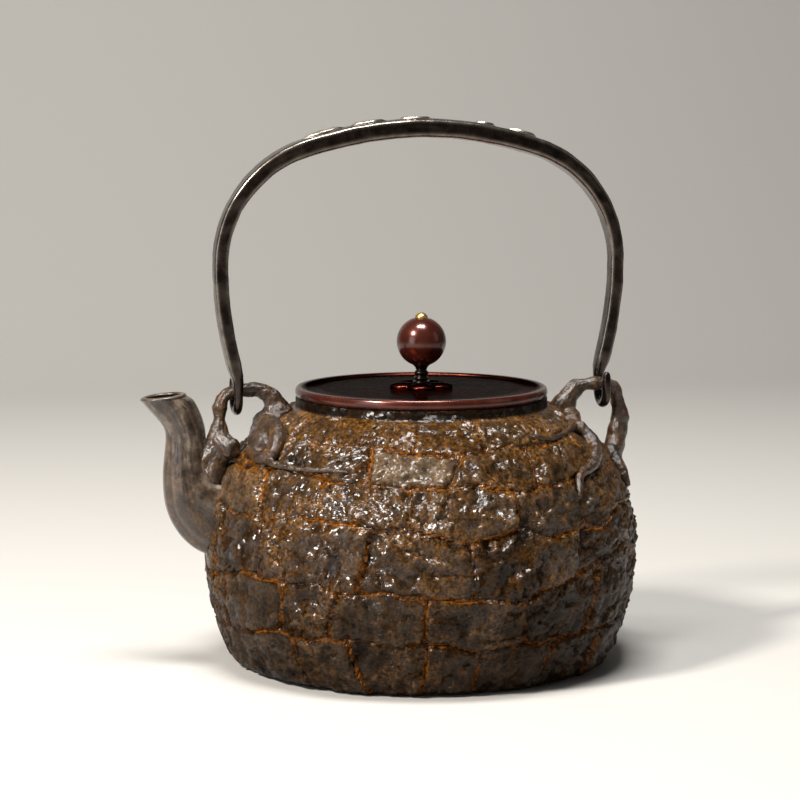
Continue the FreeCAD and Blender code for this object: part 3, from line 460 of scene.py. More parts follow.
# chips too fine for the mesh: facets that each tilt their own way, in mm of height, under a wax coat that
# fills the grit
grit_depth = 0.45
chip_height = add(stone_iron, "ShaderNodeMath", {0: seam, 1: -seam_depth}, operation="MULTIPLY").outputs[0]
slanted = add(stone_iron, "ShaderNodeMapping",
              {"Vector": where, "Rotation": (0.2, math.radians(38), 0), "Scale": (0.6, 0.9, 1.6)}).outputs[0]
for chip_place, chip_size, chip_slope in ((slanted, 9.0, 0.5), (where, 4.2, 0.34), (where, 1.6, 0.45)):
    cell = add(stone_iron, "ShaderNodeTexVoronoi", {"Vector": chip_place, "Scale": 1 / (chip_size * MM)})
    offset = add(stone_iron, "ShaderNodeVectorMath", {0: chip_place, 1: cell.outputs["Position"]},
                 operation="SUBTRACT").outputs[0]
    lie = add(stone_iron, "ShaderNodeVectorMath", {0: cell.outputs["Color"], 1: (0.5, 0.5, 0.5)},
              operation="SUBTRACT").outputs[0]
    facet = add(stone_iron, "ShaderNodeVectorMath",
                {0: offset, 1: lie}, operation="DOT_PRODUCT").outputs["Value"]
    chip_height = add(stone_iron, "ShaderNodeMath", {0: facet, 1: chip_slope / MM, 2: chip_height},
                      operation="MULTIPLY_ADD").outputs[0]
wax_bump = add(stone_iron, "ShaderNodeBump",
               {"Height": chip_height, "Distance": MM, "Strength": 0.9}).outputs[0]
grit_height = add(stone_iron, "ShaderNodeMath",
                  {0: grit, 1: grit_depth, 2: chip_height}, operation="MULTIPLY_ADD").outputs[0]
stone_bump = add(stone_iron, "ShaderNodeBump",
                 {"Height": grit_height, "Distance": MM, "Strength": 0.9}).outputs[0]
link_shader(stone_iron, stone_shader, {"Base Color": stone_colour, "Roughness": stone_gloss,
                                       "Normal": stone_bump, "Coat Normal": wax_bump,
                                       "Coat Weight": stone_wax})

# painted shade: the neck and the inside count as full hollow and are painted dark all over
piece("kettle_casting", shell_points, quads(len(shell_points), body_columns, closed_rows=True), stone_iron,
      "kettle", "relief_iron", ["kettle_shell"],
      {"hollow": with_inside(hollow, 1.0), "crest": with_inside(crest), "ochre": with_inside(ochre),
       "edge": with_inside(edge, 9.0), "gape": with_inside(gape), "low_darkening": with_inside(low_darkening, 0.9),
       "grey_and_sheen": with_inside(grey_and_sheen)})

# Base plate. A plain iron disc let into the foot from below and sealed there, with the sand mould's skin
# and rust left on it.
turned_columns = 160


def turned(line, columns=turned_columns):
    """Points and faces of a closed half profile of radius and height, carried round the axis."""
    line = np.asarray(line, float)
    angles = np.linspace(0, 2 * np.pi, columns, endpoint=False)
    points = np.stack([np.outer(line[:, 0], np.sin(angles)), np.outer(line[:, 0], -np.cos(angles)),
                       np.repeat(line[:, 1:2], columns, axis=1)], axis=2)
    return points.reshape(-1, 3), quads(len(line), columns, closed_rows=True)


def rounded(corners, radius=0.3, steps=3):
    """A closed outline with each corner cut back to a small round of that radius."""
    corners = np.asarray(corners, float)
    line = []
    for before, corner, after in zip(np.roll(corners, 1, 0), corners, np.roll(corners, -1, 0)):
        sides = [np.linalg.norm(end - corner) for end in (before, after)]
        cut = min(radius, 0.45 * min(sides))
        start = corner + (before - corner) / sides[0] * cut
        finish = corner + (after - corner) / sides[1] * cut
        for share in np.linspace(0, 1, steps):
            line.append((1 - share) ** 2 * start + 2 * share * (1 - share) * corner + share ** 2 * finish)
    return np.array(line)


base_gap = 0.1
base_radius = base_seat_radius - base_gap
centre_hole = 0.01
base_line = rounded([(centre_hole, 0), (base_radius, 0), (base_radius, base_step),
                     (base_radius - base_ledge, base_step), (base_radius - base_ledge, base_thickness),
                     (centre_hole, base_thickness)])
# Bare cast iron with the mould's skin on it: dull dark grey, rough as fine sand and blotched with brown rust.
sand_size = 2.5
blotch_size = 24
bare_iron, bare_shader = new_material("sand_cast_iron_bare", metallic=0.3)
where = add(bare_iron, "ShaderNodeTexCoord").outputs["Object"]
sand = add(bare_iron, "ShaderNodeTexNoise",
           {"Vector": where, "Scale": 1 / (sand_size * MM), "Detail": 6.0, "Roughness": 0.7}).outputs["Fac"]
blotch = add(bare_iron, "ShaderNodeTexNoise",
             {"Vector": where, "Scale": 1 / (blotch_size * MM), "Detail": 5.0,
              "Roughness": 0.6}).outputs["Fac"]
bare_colour = add(bare_iron, "ShaderNodeValToRGB", {"Fac": blotch},
                  stops=((0.3, "#2b2522"), (0.7, "#5a3a22"), (0.5, "#3d322b"))).outputs[0]
bare_gloss = add(bare_iron, "ShaderNodeMapRange", {"Value": sand, "To Min": 0.5, "To Max": 0.8}).outputs[0]
bare_bump = add(bare_iron, "ShaderNodeBump",
                {"Height": sand, "Distance": 0.3 * MM, "Strength": 0.6}).outputs[0]
link_shader(bare_iron, bare_shader, {"Base Color": bare_colour, "Roughness": bare_gloss,
                                     "Normal": bare_bump})
piece("base_disc", *turned(base_line), bare_iron, "kettle", "base_iron", ["base_plate"])

# Spout. Cast iron shaped like a root or a bent branch: it leaves the side of the body, turns up and ends
# in a flared lip that slants a little. Its skin is smooth, with fine grain along it, and rubbed grey.
spout_columns = 112
spout_wall = 2.6
# reach from the axis, height, lean of the ring, half width and half width across
spout_rings = (
    (73.6, 60.0, 84, 17.0, 12.5), (86.2, 61.0, 76, 16.7, 12.0), (93.5, 67.6, 44, 13.1, 11.1),
    (95.6, 78.0, 10, 10.1, 9.4), (95.6, 88.4, -2, 8.6, 8.4), (96.1, 95.9, 6, 8.4, 8.2),
    (99.0, 102.5, 24, 8.5, 8.2), (104.3, 108.2, 6, 9.4, 8.7),
)


def through(points, steps):
    """A smooth line through points, with that many steps to each span; extra columns go along."""
    points = np.asarray(points, float)
    ends = np.vstack([2 * points[0] - points[1], points, 2 * points[-1] - points[-2]])
    line = []
    for index in range(len(points) - 1):
        first, start, finish, last = ends[index:index + 4]
        for share in np.linspace(0, 1, steps, endpoint=False):
            line.append(0.5 * (2 * start + (finish - first) * share
                               + (2 * first - 5 * start + 4 * finish - last) * share ** 2
                               + (3 * start - first - 3 * finish + last) * share ** 3))
    line.append(points[-1])
    return np.array(line)


spout_line = through(spout_rings, 12)
spout_turn = np.linspace(0, 2 * np.pi, spout_columns, endpoint=False)


def spout_rows(line, thinner, swell=0.0):
    """Rings of the spout, drawn in by thinner and out by swell, one row per ring."""
    reach, level, lean, half, side = line.T
    lean = np.radians(lean)
    out = np.stack([-np.cos(lean), np.zeros_like(lean), -np.sin(lean)], axis=1)
    centre = np.stack([-reach, np.zeros_like(reach), level], axis=1)
    wide = (half - thinner)[:, None] + swell
    deep = (side - thinner)[:, None] + swell
    across = np.array([0.0, 1.0, 0.0])
    return (centre[:, None] + (wide * np.cos(spout_turn))[..., None] * out[:, None]
            + (deep * np.sin(spout_turn))[..., None] * across)


spout_along = np.linspace(0, 1, len(spout_line))
spout_girth = 9
spout_length = 60
grain_stretch = 0.16
grain_place = np.stack(np.broadcast_arrays(
    spout_girth * np.cos(spout_turn)[None], spout_girth * np.sin(spout_turn)[None],
    spout_length * spout_along[:, None] * grain_stretch), axis=2)
streak = lumps(grain_place, 1.7, 4)
flute = lumps(grain_place * [1, 1, 0.8], 7, 3)
near_root = 1 - ramp(spout_along, 0.1, 0.6)[:, None]
near_lip = ramp(spout_along, 0.82, 1.0)[:, None]
# streaks all along, and flutes that deepen towards the body, in mm
streak_rise = 0.12
flute_rise = 0.25
root_flute_rise = 1.5
spout_inset = 0.3
spout_swell = ((streak_rise * streak + (flute_rise + root_flute_rise * near_root) * flute) * (1 - near_lip)
               - spout_inset)
lip_rows = 5
lip_inset = 0.05
lip_flatness = 0.8
lip_line = np.repeat(spout_line[-1:], lip_rows, axis=0)
lip_turn = np.linspace(0, np.pi, lip_rows)
lip_line[:, 1] += 0.5 * spout_wall * np.sin(lip_turn) * lip_flatness
lip_thinner = lip_inset + 0.5 * spout_wall * (1 - np.cos(lip_turn))
bore_line = spout_line[::-3]
spout_points = np.concatenate([spout_rows(spout_line, 0, spout_swell), spout_rows(lip_line, lip_thinner),
                               spout_rows(bore_line, spout_wall)])
rest = np.zeros((len(lip_line) + len(bore_line), spout_columns))
# Iron rubbed grey where hands reach it and rust brown where it meets the stones, waxed to a soft shine.
mottle_size = 6
pore_size = 1.2
root_iron, root_shader = new_material("cast_iron_rubbed_grey", coat_weight=0.95, coat_roughness=0.13,
                                      specular_ior_level=0.2)
where = add(root_iron, "ShaderNodeTexCoord").outputs["Object"]
fibre = add(root_iron, "ShaderNodeAttribute", attribute_name="grain").outputs["Fac"]
browned = add(root_iron, "ShaderNodeAttribute", attribute_name="browned").outputs["Fac"]
mottle = add(root_iron, "ShaderNodeTexNoise",
             {"Vector": where, "Scale": 1 / (mottle_size * MM), "Detail": 6.0,
              "Roughness": 0.65}).outputs["Fac"]
pores = add(root_iron, "ShaderNodeTexNoise",
            {"Vector": where, "Scale": 1 / (pore_size * MM), "Detail": 5.0,
             "Roughness": 0.65}).outputs["Fac"]
root_mix = add(root_iron, "ShaderNodeMath",
               {0: fibre, 1: 0.22, 2: mottle}, operation="MULTIPLY_ADD").outputs[0]
rubbed_grey = add(root_iron, "ShaderNodeValToRGB", {"Fac": root_mix},
                  stops=((0.32, "#1a120b"), (0.7, "#6b5e52"), (0.5, "#3d3126"))).outputs[0]
rust_mix = add(root_iron, "ShaderNodeMix", {2: pores, 3: mottle}).outputs[0]
root_rust = add(root_iron, "ShaderNodeValToRGB", {"Fac": rust_mix},
                stops=((0.36, "#120901"), (0.64, "#5a390f"), (0.5, "#2c1a07"))).outputs[0]
rust_share = add(root_iron, "ShaderNodeMath", {0: mottle, 1: browned}, operation="ADD").outputs[0]
rust_share = add(root_iron, "ShaderNodeMapRange",
                 {"Value": rust_share, "From Min": 0.6, "From Max": 1.2}).outputs[0]
root_colour = add(root_iron, "ShaderNodeMix",
                  {0: rust_share, 6: rubbed_grey, 7: root_rust}, data_type="RGBA").outputs[2]
root_gloss = add(root_iron, "ShaderNodeMapRange",
                 {"Value": mottle, "To Min": 0.35, "To Max": 0.55}).outputs[0]
root_height = add(root_iron, "ShaderNodeMath", {0: pores, 1: rust_share}, operation="MULTIPLY").outputs[0]
root_height = add(root_iron, "ShaderNodeMath",
                  {0: pores, 1: 0.3, 2: root_height}, operation="MULTIPLY_ADD").outputs[0]
root_height = add(root_iron, "ShaderNodeMath",
                  {0: fibre, 1: 0.3, 2: root_height}, operation="MULTIPLY_ADD").outputs[0]
root_bump = add(root_iron, "ShaderNodeBump",
                {"Height": root_height, "Distance": 0.8 * MM, "Strength": 0.5}).outputs[0]
link_shader(root_iron, root_shader, {"Base Color": root_colour, "Roughness": root_gloss,
                                     "Normal": root_bump, "Coat Normal": root_bump})
spout_browned = np.clip(0.45 * near_root + 0.3 * np.cos(spout_turn)[None], 0, 1) * (1 - near_lip)
piece("root_spout", spout_points, quads(len(spout_points), spout_columns, closed_rows=True), root_iron,
      "kettle", "root_iron", ["spout"],
      {"grain": np.concatenate([streak, rest]), "browned": np.concatenate([spout_browned, rest])})

# Ears. Two branch-like loops cast with the body. Each has an inner limb that grows out of the shoulder, a bar
# that the handle hangs from and an outer limb; their roots spread over the stones.
limb_columns = 20
limb_unevenness = 0.2
limb_end = 0.6
# fine grain, knots and the room left for them, in mm
limb_grain = 0.14
limb_knots = 0.5
limb_inset = 0.2
# how far from the stones the brown gives way to rubbed grey, in mm, and by how much
grey_from = 3
grey_to = 12
grey_share = 0.4


def limb(path, steps=8):
    """A closed round tube along points of x, y, z and radius, and the smooth line that it follows."""
    line = through(path, steps)
    places = line[:, :3]
    girth = line[:, 3] * (1 + limb_unevenness * lumps(places, 5, 3))
    forward = np.gradient(places, axis=0)
    forward /= np.linalg.norm(forward, axis=1)[:, None]
    side = np.cross(forward[0], [0.3, 0.9, 0.2])
    rows = []
    for place, way, radius in zip(places, forward, girth):
        side = side - way * side.dot(way)
        side /= np.linalg.norm(side)
        other = np.cross(way, side)
        for angle in np.linspace(0, 2 * np.pi, limb_columns, endpoint=False):
            rows.append(place + radius * (np.cos(angle) * side + np.sin(angle) * other))
    ends = [places[0] - forward[0] * girth[0] * limb_end, places[-1] + forward[-1] * girth[-1] * limb_end]
    count = len(places)
    faces = [tuple(face) for face in quads(count, limb_columns)]
    for column in range(limb_columns):
        beside = (column + 1) % limb_columns
        last = (count - 1) * limb_columns
        faces.append((beside, column, count * limb_columns))
        faces.append((last + column, last + beside, count * limb_columns + 1))
    return np.array(rows + ends), faces, line


def over_casting(angle, level, lift):
    """A point over the casting at an angle from the front and a height, that far out from the surface."""
    level = np.asarray(level, float)
    reach = belly_radius - crown_centre
    climb = np.arcsin(np.clip((level - belly_height) / reach, 0, 1))
    radius = crown_centre + (reach + lift) * np.cos(climb)
    return np.array([radius * math.sin(math.radians(angle)), -radius * math.cos(math.radians(angle)),
                     belly_height + (reach + lift) * math.sin(climb)])


def grown(name, paths, slot, node, voxel=0.55):
    """Limbs melted into one casting: joined, remeshed and smoothed, then grained along each limb."""
    points, faces, lines = [], [], []
    for path in paths:
        tube, sides, line = limb(path)
        first = sum(len(part) for part in points)
        points.append(tube)
        faces += [tuple(corner + first for corner in side) for side in sides]
        lines.append(line)
    mesh = bpy.data.meshes.new(name)
    mesh.from_pydata((np.concatenate(points) * MM).tolist(), [], faces)
    raw = bpy.data.objects.new(name, mesh)
    bpy.context.scene.collection.objects.link(raw)
    melt = raw.modifiers.new("melt", "REMESH")
    melt.mode = "VOXEL"
    melt.voxel_size = voxel * MM
    ease = raw.modifiers.new("ease", "SMOOTH")
    ease.factor = 0.5
    ease.iterations = 6
    bpy.context.view_layer.update()
    melted = bpy.data.meshes.new_from_object(raw.evaluated_get(bpy.context.evaluated_depsgraph_get()))
    bpy.data.objects.remove(raw)
    places = np.empty(len(melted.vertices) * 3)
    melted.vertices.foreach_get("co", places)
    normals = np.empty(len(melted.vertices) * 3)
    melted.vertices.foreach_get("normal", normals)
    places = places.reshape(-1, 3) / MM
    normals = normals.reshape(-1, 3)
    centres = np.concatenate([line[:, :3] for line in lines])
    runs = []
    for number, line in enumerate(lines):
        spans = np.linalg.norm(np.diff(line[:, :3], axis=0), axis=1)
        runs.append(40 * number + np.r_[0, np.cumsum(spans)])
    runs = np.concatenate(runs)
    nearest = np.concatenate([((chunk[:, None] - centres[None]) ** 2).sum(axis=2).argmin(axis=1)
                              for chunk in np.array_split(places, 40)])
    arms = places - centres[nearest]
    arms /= np.linalg.norm(arms, axis=1)[:, None] + 1e-9
    grain = lumps(arms * 5 + np.stack([runs[nearest] * 0.12] * 3, axis=1), 1.6, 3)
    knots = lumps(places, 6, 3)
    places = places + normals * (limb_grain * grain + limb_knots * knots - limb_inset)[:, None]
    sides = [tuple(side.vertices) for side in melted.polygons]
    apart = np.hypot(places[:, 0], places[:, 1]) - casting_radius(np.minimum(places[:, 2], shoulder_height))
    browned = 1 - grey_share * ramp(apart, grey_from, grey_to)
    return piece(name, places, sides, root_iron, "kettle", slot, [node], {"grain": grain, "browned": browned})


def ear_loop(side, sway, sag):
    """The loop of an ear on one side, from deep in the shoulder over the bar to the top of its outer limb."""
    loop = ((54.0, 94.0, 8.2, 0.5), (58.2, 101.0, 6.0, 1), (61.0, 107.2 - sag, 4.3, 0.6),
            (65.2, 110.2 - 0.7 * sag, 3.4, 0), (71.5, 110.6, 3.0, 0), (77.0, 110.3, 2.9, 0),
            (80.6, 107.6, 3.0, -0.4), (81.8, 103.4, 3.1, -0.6))
    return [(side * reach, sway * drift, level, girth) for reach, level, girth, drift in loop]


def root(*stops):
    """A root over the casting along stops of angle, height, lift and radius."""
    return [(*over_casting(angle, level, lift), girth) for angle, level, lift, girth in stops]


grown("spout_side_ear", [
    ear_loop(-1, 1, 0),
    # the trunk, the branch that lies on the spout, the cut stub and the flesh in the fork below them
    [(-81.8, 0.6, 103.4, 3.1), (-81.9, -0.3, 98.8, 3.0), (-82.2, -1.0, 94.6, 4.0), (-83.0, -1.5, 90.0, 5.3),
     (-86.5, -2.0, 85.5, 5.2), (-91.5, -2.0, 80.5, 5.2)],
    [(-82.6, -2.0, 91.0, 5.2), (-79.4, -5.0, 88.6, 4.8), (-76.6, -7.5, 87.2, 4.0)],
    [(-82.5, -1.5, 88.0, 5.5), (-84.0, -2.0, 81.0, 6.5), (-86.0, -2.0, 74.0, 6.0)],
    # a coiled root on the shoulder and the thin end that runs on over the stones
    root((-92, 97, 0.0, 5.5), (-80, 96.5, 0.4, 4.6), (-70, 95.5, 0.6, 3.8), (-64.5, 92.5, 0.6, 3.2),
         (-63, 88.8, 0.5, 2.8), (-68, 86.8, 0.4, 2.6), (-78, 88, 0.3, 2.6)),
    root((-82, 92.5, -2.0, 6.0), (-72, 92.0, -2.0, 5.5)),
    root((-73, 87.2, 0.2, 1.8), (-62.4, 86.2, 0.2, 1.6), (-49.6, 85.5, 0.2, 1.4), (-41, 86.0, 0.1, 1.3),
         (-32, 86.0, -0.2, 1.0)),
    root((-92, 101.5, 0.5, 4.2), (-102, 98, 0.8, 3.4), (-110, 93, 0.4, 2.4), (-116, 88, 0, 1.6)),
], "root_iron", "spout_ear")
grown("rear_side_ear", [
    ear_loop(1, -1, 1.4),
    [(81.8, 0.6, 103.4, 3.3), (82.8, 0.4, 98.0, 4.0), (82.2, 0.0, 92.0, 4.4), (80.6, -0.5, 86.0, 4.6),
     (79.6, -1.0, 80.0, 4.2), (80.2, -2.0, 74.0, 3.0)],
    # the root that curls over the front of the shoulder, with its tail
    root((74, 99, 0.0, 4.4), (65.5, 96.6, 0.6, 3.4), (64.5, 94, 0.8, 3.1), (63.5, 91, 0.8, 3.0),
         (60, 88, 0.6, 2.9), (54.5, 85.2, 0.2, 2.9), (48.5, 83.4, -0.2, 2.6), (44.5, 83.2, -0.6, 2.0)),
    root((46, 83, -0.4, 2.0), (42.5, 81.5, -0.2, 1.9), (40, 78, -0.3, 1.7), (38.3, 74, -0.8, 1.2)),
    # a thin root along the top of the shoulder, one behind the ear and one below it
    root((68, 98, 0.0, 2.4), (60, 96.8, 0.0, 2.0), (52.8, 96.1, -0.2, 1.6), (44.5, 95.4, -0.3, 1.5),
         (38, 95.9, -0.4, 1.4), (31.6, 96.8, -0.5, 1.3), (26.5, 97.9, -0.8, 1.2)),
    root((92, 101.0, 0.5, 4.4), (101, 97.0, 1.0, 3.4), (109, 91.0, 0.6, 2.6), (113, 83.0, 0.2, 1.8)),
    root((86, 84.0, 0.5, 3.6), (82, 77.0, 0.6, 2.6), (80, 70.0, 0.2, 1.6)),
], "root_iron", "rear_ear")

# Handle bow. A bar of iron forged wide and flat at the top, drawn out narrower down the legs and then thin
# for the hooks. Each hook goes round the bar of its ear, one from the front and one from behind.
bow_yaw = math.radians(4.27)
bow_top = (13.5, 8.0)
bow_leg = (8.0, 6.0)
hook_wire = 3.6
hook_bend = 5.6
bow_columns = 40
# centre, radius, first and last angle, and number of points of the outer line's arcs, from the top down
bow_arcs = (
    (0, 69.1, 149.6, 90, 70.2, 26),
    (33.07, 161, 51.93, 70.2, 0, 30),
    (-70.6, 161, 155.6, 0, -15.3, 22),
)
outer_bow = []
for centre_x, centre_z, bow_reach, first_angle, last_angle, count in bow_arcs:
    for angle_now in np.radians(np.linspace(first_angle, last_angle, count, endpoint=False)):
        outer_bow.append((centre_x, centre_z, bow_reach, angle_now))
half_bow = []
for index, (centre_x, centre_z, bow_reach, angle_now) in enumerate(outer_bow):
    share = ramp(index / (len(outer_bow) - 1), 0.12, 0.8)
    wide, thick = [top + (leg - top) * share for top, leg in zip(bow_top, bow_leg)]
    reach = bow_reach - 0.5 * thick
    half_bow.append((centre_x + reach * math.cos(angle_now), 0, centre_z + reach * math.sin(angle_now),
                     wide, thick))
hook_height = 108
hook_reach = 75
half_bow += [(76.4, 0, 119.5, 7.4, 5.8), (75.6, 0, 116.8, 6.0, 5.2), (75.1, 0, 114.2, 4.7, 4.5),
             (hook_reach, 0, 111.6, 4.0, 4.0), (hook_reach, 0, 109.6, hook_wire, hook_wire)]
for angle_now in np.radians(np.linspace(0, 180, 17)):
    half_bow.append((hook_reach, hook_bend * (math.cos(angle_now) - 1),
                     hook_height - hook_bend * math.sin(angle_now), hook_wire, hook_wire))
half_bow += [(hook_reach, -2 * hook_bend, level, wire, wire) for level, wire in
             ((110, 3.6), (112, 3.5), (113.6, 3.3), (114.8, 2.8), (115.5, 2.0), (115.8, 1.0))]
half_bow = np.array(half_bow)
other_half = half_bow[:0:-1] * [-1, -1, 1, 1, 1]
bow_line = np.concatenate([other_half, half_bow])
bow_centre = bow_line[:, :3]
bow_way = np.gradient(bow_centre, axis=0)
bow_way /= np.linalg.norm(bow_way, axis=1)[:, None]
middle = len(other_half)
bow_side = np.zeros_like(bow_centre)
bow_side[middle] = (0, 1, 0)
for order in (range(middle + 1, len(bow_line)), range(middle - 1, -1, -1)):
    side = bow_side[middle]
    for index in order:
        side = side - bow_way[index] * side.dot(bow_way[index])
        side = side / np.linalg.norm(side)
        bow_side[index] = side
bow_over = np.cross(bow_way, bow_side)
bow_over *= np.sign(bow_over[middle][2])
section_turn = np.linspace(0, 2 * np.pi, bow_columns, endpoint=False)
square = 1 + 1.6 * ramp(np.minimum(bow_line[:, 3], bow_line[:, 4]), 4.2, 5.8)[:, None]


def section(turns, power):
    """Across and over of a squared-off round section, as shares of the half width and half thickness."""
    across, over = np.cos(turns), np.sin(turns)
    reach = (np.abs(across) ** (2 * power) + np.abs(over) ** (2 * power)) ** (-0.5 / power)
    return across * reach, over * reach


def yawed(points):
    """Points turned with the bow about the axis of the pot, so that the hooks stand over the ears."""
    points = np.asarray(points)
    x, y, z = np.moveaxis(points, -1, 0)
    return np.stack([x * math.cos(bow_yaw) - y * math.sin(bow_yaw),
                     x * math.sin(bow_yaw) + y * math.cos(bow_yaw), z], axis=-1)


section_across, section_over = section(section_turn[None], square)
bow_plain = (bow_centre[:, None] + (0.5 * bow_line[:, 3:4] * section_across)[..., None] * bow_side[:, None]
             + (0.5 * bow_line[:, 4:5] * section_over)[..., None] * bow_over[:, None])
bow_out = bow_plain - bow_centre[:, None]
bow_out /= np.linalg.norm(bow_out, axis=2)[..., None]
hammer = lumps(bow_plain, 11, 2, "VORONOI_F1") + 0.6 * lumps(bow_plain, 5, 3)
thickness_share = ramp(bow_line[:, 4], 4.0, 5.6)[:, None]
hammer_rise = 0.22
hammer_inset = 0.25
bow_points = bow_plain + (bow_out * ((hammer_rise * hammer - hammer_inset) * thickness_share)[..., None])
bow_faces = [tuple(face) for face in quads(len(bow_points), bow_columns)]
bow_faces.append(tuple(range(bow_columns))[::-1])
bow_faces.append(tuple(range((len(bow_points) - 1) * bow_columns, len(bow_points) * bow_columns)))
# Forged iron, waxed: near black and soft-sheened, with the edges rubbed to bare grey metal; that lighter grey
# is partly a painted highlight.
scale_size = 4
forged_iron, forged_shader = new_material("forged_iron_waxed", metallic=0.9, coat_weight=0.4,
                                         coat_roughness=0.12)
where = add(forged_iron, "ShaderNodeTexCoord").outputs["Object"]
scale_marks = add(forged_iron, "ShaderNodeTexNoise",
                  {"Vector": where, "Scale": 1 / (scale_size * MM), "Detail": 6.0,
                   "Roughness": 0.6}).outputs["Fac"]
forged_colour = add(forged_iron, "ShaderNodeValToRGB", {"Fac": scale_marks},
                    stops=((0.3, "#1c1410"), (0.75, "#40342b"), (0.5, "#2a201a"))).outputs[0]
forged_gloss = add(forged_iron, "ShaderNodeMapRange",
                   {"Value": scale_marks, "To Min": 0.18, "To Max": 0.36}).outputs[0]
forged_bump = add(forged_iron, "ShaderNodeBump",
                  {"Height": scale_marks, "Distance": 0.25 * MM, "Strength": 0.35}).outputs[0]
corners = add(forged_iron, "ShaderNodeAttribute", attribute_name="corner").outputs["Fac"]
# edge wear and painted highlight: the corners of the section turn light grey
edge_wear_and_highlight = add(forged_iron, "ShaderNodeMath",
                {0: corners, 1: scale_marks}, operation="MULTIPLY").outputs[0]
forged_colour = add(forged_iron, "ShaderNodeMix", {0: edge_wear_and_highlight, 6: forged_colour, 7: linear("#8b8278")},
                    data_type="RGBA").outputs[2]
link_shader(forged_iron, forged_shader, {"Base Color": forged_colour, "Roughness": forged_gloss,
                                         "Normal": forged_bump})
bow_corner = ramp(np.hypot(section_across, section_over), 1.08, 1.22) * thickness_share
piece("handle_bar", yawed(bow_points), bow_faces, forged_iron, "handle", "forged_iron", ["handle_bow"],
      {"corner": bow_corner})

# Inlays. Five leaf-shaped patches of silver-coloured metal on the top of the bow. Each is thin sheet beaten
# on to the roughened iron, and its edges are worn.
inlay_spread = 85
inlay_length = 17
inlay_width = 8.4
inlay_rise = 0.95
inlay_edge = 0.3
inlay_foot = 0.9
inlay_columns = 24
inlay_steps = 22
top_rows = np.arange(middle - 40, middle + 40)
bow_top_line = bow_centre[top_rows]
inlay_points, inlay_faces = [], []
for place, share in ((-0.46, 1), (-0.25, 0.85), (-0.03, 0.8), (0.3, 0.5), (0.48, 0.7)):
    middle_x = inlay_spread * place
    half_length = 0.5 * inlay_length * share
    for step in np.linspace(-0.985, 0.985, inlay_steps):
        place_x = middle_x + step * half_length
        leaf_half = 0.5 * inlay_width * (1 - step ** 2) * min(1, share + 0.2)
        index = int(round(np.interp(place_x, bow_top_line[:, 0], top_rows)))
        base = np.array([np.interp(place_x, bow_top_line[:, 0], column) for column in bow_top_line.T])
        for turn_now in np.linspace(0, 2 * np.pi, inlay_columns, endpoint=False):
            across = leaf_half * math.cos(turn_now)
            rim = min(1, 2.6 * abs(math.sin(turn_now)))
            over = (0.5 * bow_top[1] - inlay_edge + inlay_rise * rim * min(1, 3 * (1 - abs(step)))
                    if math.sin(turn_now) > 0 else 0.5 * bow_top[1] - inlay_foot)
            inlay_points.append(base + across * bow_side[index] + over * bow_over[index])
    first = len(inlay_points) - inlay_steps * inlay_columns
    inlay_faces += [tuple(face) for face in quads(inlay_steps, inlay_columns, first)]
    inlay_faces.append(tuple(range(first, first + inlay_columns))[::-1])
    inlay_faces.append(tuple(range(len(inlay_points) - inlay_columns, len(inlay_points))))
# Beaten silver, worn: pale and bright on the high spots, grey and duller where it has tarnished.
tarnish_size = 3
silver, silver_shader = new_material("beaten_silver_worn", metallic=1.0)
where = add(silver, "ShaderNodeTexCoord").outputs["Object"]
tarnish = add(silver, "ShaderNodeTexNoise",
              {"Vector": where, "Scale": 1 / (tarnish_size * MM), "Detail": 5.0,
               "Roughness": 0.65}).outputs["Fac"]
silver_colour = add(silver, "ShaderNodeValToRGB", {"Fac": tarnish},
                    stops=((0.35, "#6e665c"), (0.65, "#d8d3c8"), (0.5, "#b0a89a"))).outputs[0]
silver_gloss = add(silver, "ShaderNodeMapRange",
                   {"Value": tarnish, "To Min": 0.42, "To Max": 0.24}).outputs[0]
silver_bump = add(silver, "ShaderNodeBump",
                  {"Height": tarnish, "Distance": 0.2 * MM, "Strength": 0.35}).outputs[0]
link_shader(silver, silver_shader, {"Base Color": silver_colour, "Roughness": silver_gloss,
                                    "Normal": silver_bump})
piece("handle_leaves", yawed(np.array(inlay_points)), inlay_faces, silver, "handle", "inlay_silver",
      ["handle_inlays"])

# Lid. A bronze disc, cast and turned, with a rolled bead round its rim and a dark red-brown patina polished
# to a gloss. A turned ring under it drops into the mouth.
lid_radius = neck_radius - 0.5
lid_field = mouth_height + 3.3
lid_top = mouth_height + 4
lid_bead = 2.3
lid_under = mouth_height + 0.9
flange_radius = 43.4
flange_wall = 2.6
flange_foot = 99
pin_hole = 2.1
bead_half = 2
bead_arc = [(lid_radius - 0.5 * lid_bead + 0.5 * lid_bead * math.cos(a),
             mouth_height + bead_half + bead_half * math.sin(a))
            for a in np.linspace(-0.5 * np.pi, 0.5 * np.pi, 15)]
inner_arc = [(lid_radius - 1.5 * lid_bead + 0.5 * lid_bead * math.cos(a), lid_field + 0.7 * math.sin(a))
             for a in np.linspace(0.5 * np.pi, 0.999 * np.pi, 7)]
lid_line = np.array([(pin_hole, lid_under), (flange_radius - flange_wall, lid_under),
                     (flange_radius - flange_wall, mouth_height), *bead_arc, *inner_arc,
                     (40, lid_field), (24, lid_field), (10, lid_field), (pin_hole, lid_field)])
